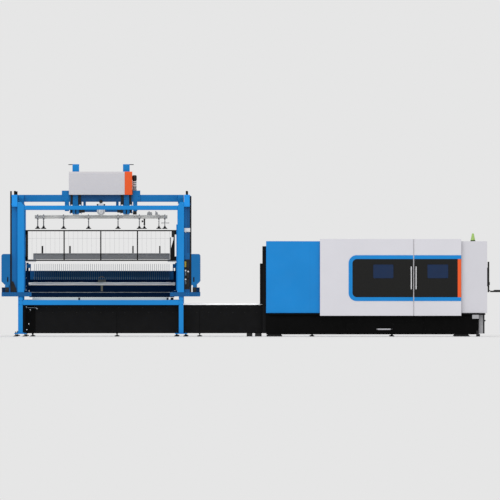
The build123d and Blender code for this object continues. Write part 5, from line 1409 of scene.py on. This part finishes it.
for row in range(KEY_ROWS):
    x = 5478 + row * KEY_PITCH
    for key in range(KEYS):
        y = -1160 + key * KEY_PITCH
        bar(mesh, (x, x + KEY_WIDE), (y, y + KEY_WIDE), (TRAY_TOP, KEY_TOP), 2)
bar(mesh, *POINTER_PAD, 2)
bar(mesh, *KEY_BLOCK, 3)
piece("keycaps", mesh, black_plastic, "tray")

# %% [markdown]
# ## Cutting head
# Inside the cabin the head hangs on the carriage: an anodised body with a cover, a sensor ring and a copper
# nozzle. It is seen when the doors are open.

# %% Cutting head
HEAD = (957.6, 0, 0)
HEAD_HALF = 55
COVER = 1016
HEAD_Z = (1200, 1560)
CONNECTOR = [(30, 1560), (30, 1580), (24, 1584), (24, 1600)]
SENSOR_RING = [(44, 1200), (44, 1164), (40, 1160), (34, 1158), (30, 1140)]
NOZZLE = [(30, 1141), (30, 1130), (22, 1126), (18, 1108), (9, 1093), (8, 1092)]
mesh = bmesh.new()
bar(mesh, (HEAD[0] - HEAD_HALF, HEAD[0] + HEAD_HALF), (-70, 70), HEAD_Z, 6)
bar(mesh, (COVER - 4, COVER), (-54, 54), (1320, 1520), 2)
for y in (-46, 46):
    for z in (1330, 1510):
        turned(mesh, [(5, 0), (5, 2), (3, 3)], (COVER, y, z), LOOK_RIGHT, 12)
turned(mesh, CONNECTOR, HEAD, sides=28)
piece("cutting_head_body", mesh, brushed_alloy, "head", ["cutting_head"])
mesh = bmesh.new()
turned(mesh, SENSOR_RING, HEAD, sides=40)
piece("sensor_ring", mesh, graphite_coat, "head")
mesh = bmesh.new()
turned(mesh, NOZZLE, HEAD, sides=36)
piece("copper_nozzle", mesh, copper, "head")

# %% [markdown]
# ## Floor and light
# The machine stands in an even pale grey. The floor is a plain sheet that fades out well away from the
# machine, so that the grey behind it runs on with no edge, and it keeps a soft shadow near the feet. Three
# broad suns and an even sky light the machine; the grey that the camera and the reflections see comes from
# the world's second background, and adds no light.

# %% Floor, sky and lamps
BACKDROP, FLOOR_PAINT = "#E6E6E6", "#E4E4E4"
FLOOR_SIZE = 60
FLOOR_Z = -0.002
FADE_FROM, FADE_TO, LEAST_FADE = 6.5, 16.0, 0.55
SKY_STRENGTH = 0.62
bpy.ops.mesh.primitive_plane_add(size=FLOOR_SIZE, location=(0, 0, FLOOR_Z))
floor = bpy.context.object
floor.name = "floor"
floor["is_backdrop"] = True
floor_material, tree, output, point = empty_material("pale_floor_paint")
away = add(tree, "ShaderNodeVectorMath", {0: point}, operation="LENGTH").outputs["Value"]
ends = {"Value": away, "From Min": FADE_FROM, "From Max": FADE_TO, "To Min": LEAST_FADE}
fade = add(tree, "ShaderNodeMapRange", ends).outputs["Result"]
ground = add(tree, "ShaderNodeBsdfDiffuse", {"Color": srgb(FLOOR_PAINT)})
nothing = add(tree, "ShaderNodeBsdfTransparent")
parts = {0: fade, 1: ground.outputs["BSDF"], 2: nothing.outputs["BSDF"]}
both = add(tree, "ShaderNodeMixShader", parts)
tree.links.new(both.outputs["Shader"], output.inputs["Surface"])
floor.data.materials.append(floor_material)

world = bpy.data.worlds.new("studio")
scene.world = world
world.use_nodes = True
tree = world.node_tree
tree.nodes.clear()
output = add(tree, "ShaderNodeOutputWorld")
path = add(tree, "ShaderNodeLightPath").outputs
seen = add(tree, "ShaderNodeMath", {0: path["Is Camera Ray"], 1: path["Is Glossy Ray"]}, operation="MAXIMUM")
seen = add(tree, "ShaderNodeMath", {0: seen.outputs[0], 1: path["Is Transmission Ray"]}, operation="MAXIMUM")
sky = add(tree, "ShaderNodeBackground", {"Color": srgb("#FFFFFF"), "Strength": SKY_STRENGTH})
backdrop = add(tree, "ShaderNodeBackground", {"Color": srgb(BACKDROP), "Strength": 1.0})
parts = {0: seen.outputs[0], 1: sky.outputs["Background"], 2: backdrop.outputs["Background"]}
both = add(tree, "ShaderNodeMixShader", parts)
tree.links.new(both.outputs["Shader"], output.inputs["Surface"])


def broad_sun(name, towards, strength, angle):
    """A soft sun whose light travels in a given direction."""
    data = bpy.data.lights.new(name, "SUN")
    data.energy = strength
    data.angle = math.radians(angle)
    lamp = bpy.data.objects.new(name, data)
    scene.collection.objects.link(lamp)
    lamp.rotation_euler = Vector(towards).to_track_quat("-Z", "Y").to_euler()


broad_sun("key", (0.45, 1.0, -0.85), 0.95, 50)
broad_sun("fill", (-0.12, 1.0, -0.12), 0.55, 40)
broad_sun("back", (-0.2, -1.0, -0.9), 0.6, 60)
scene.view_settings.view_transform = "Standard"
print("floor, sky and three suns set")

# %% Finish
low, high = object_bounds()
print("visual box in metres:", [round(v, 3) for v in high - low])
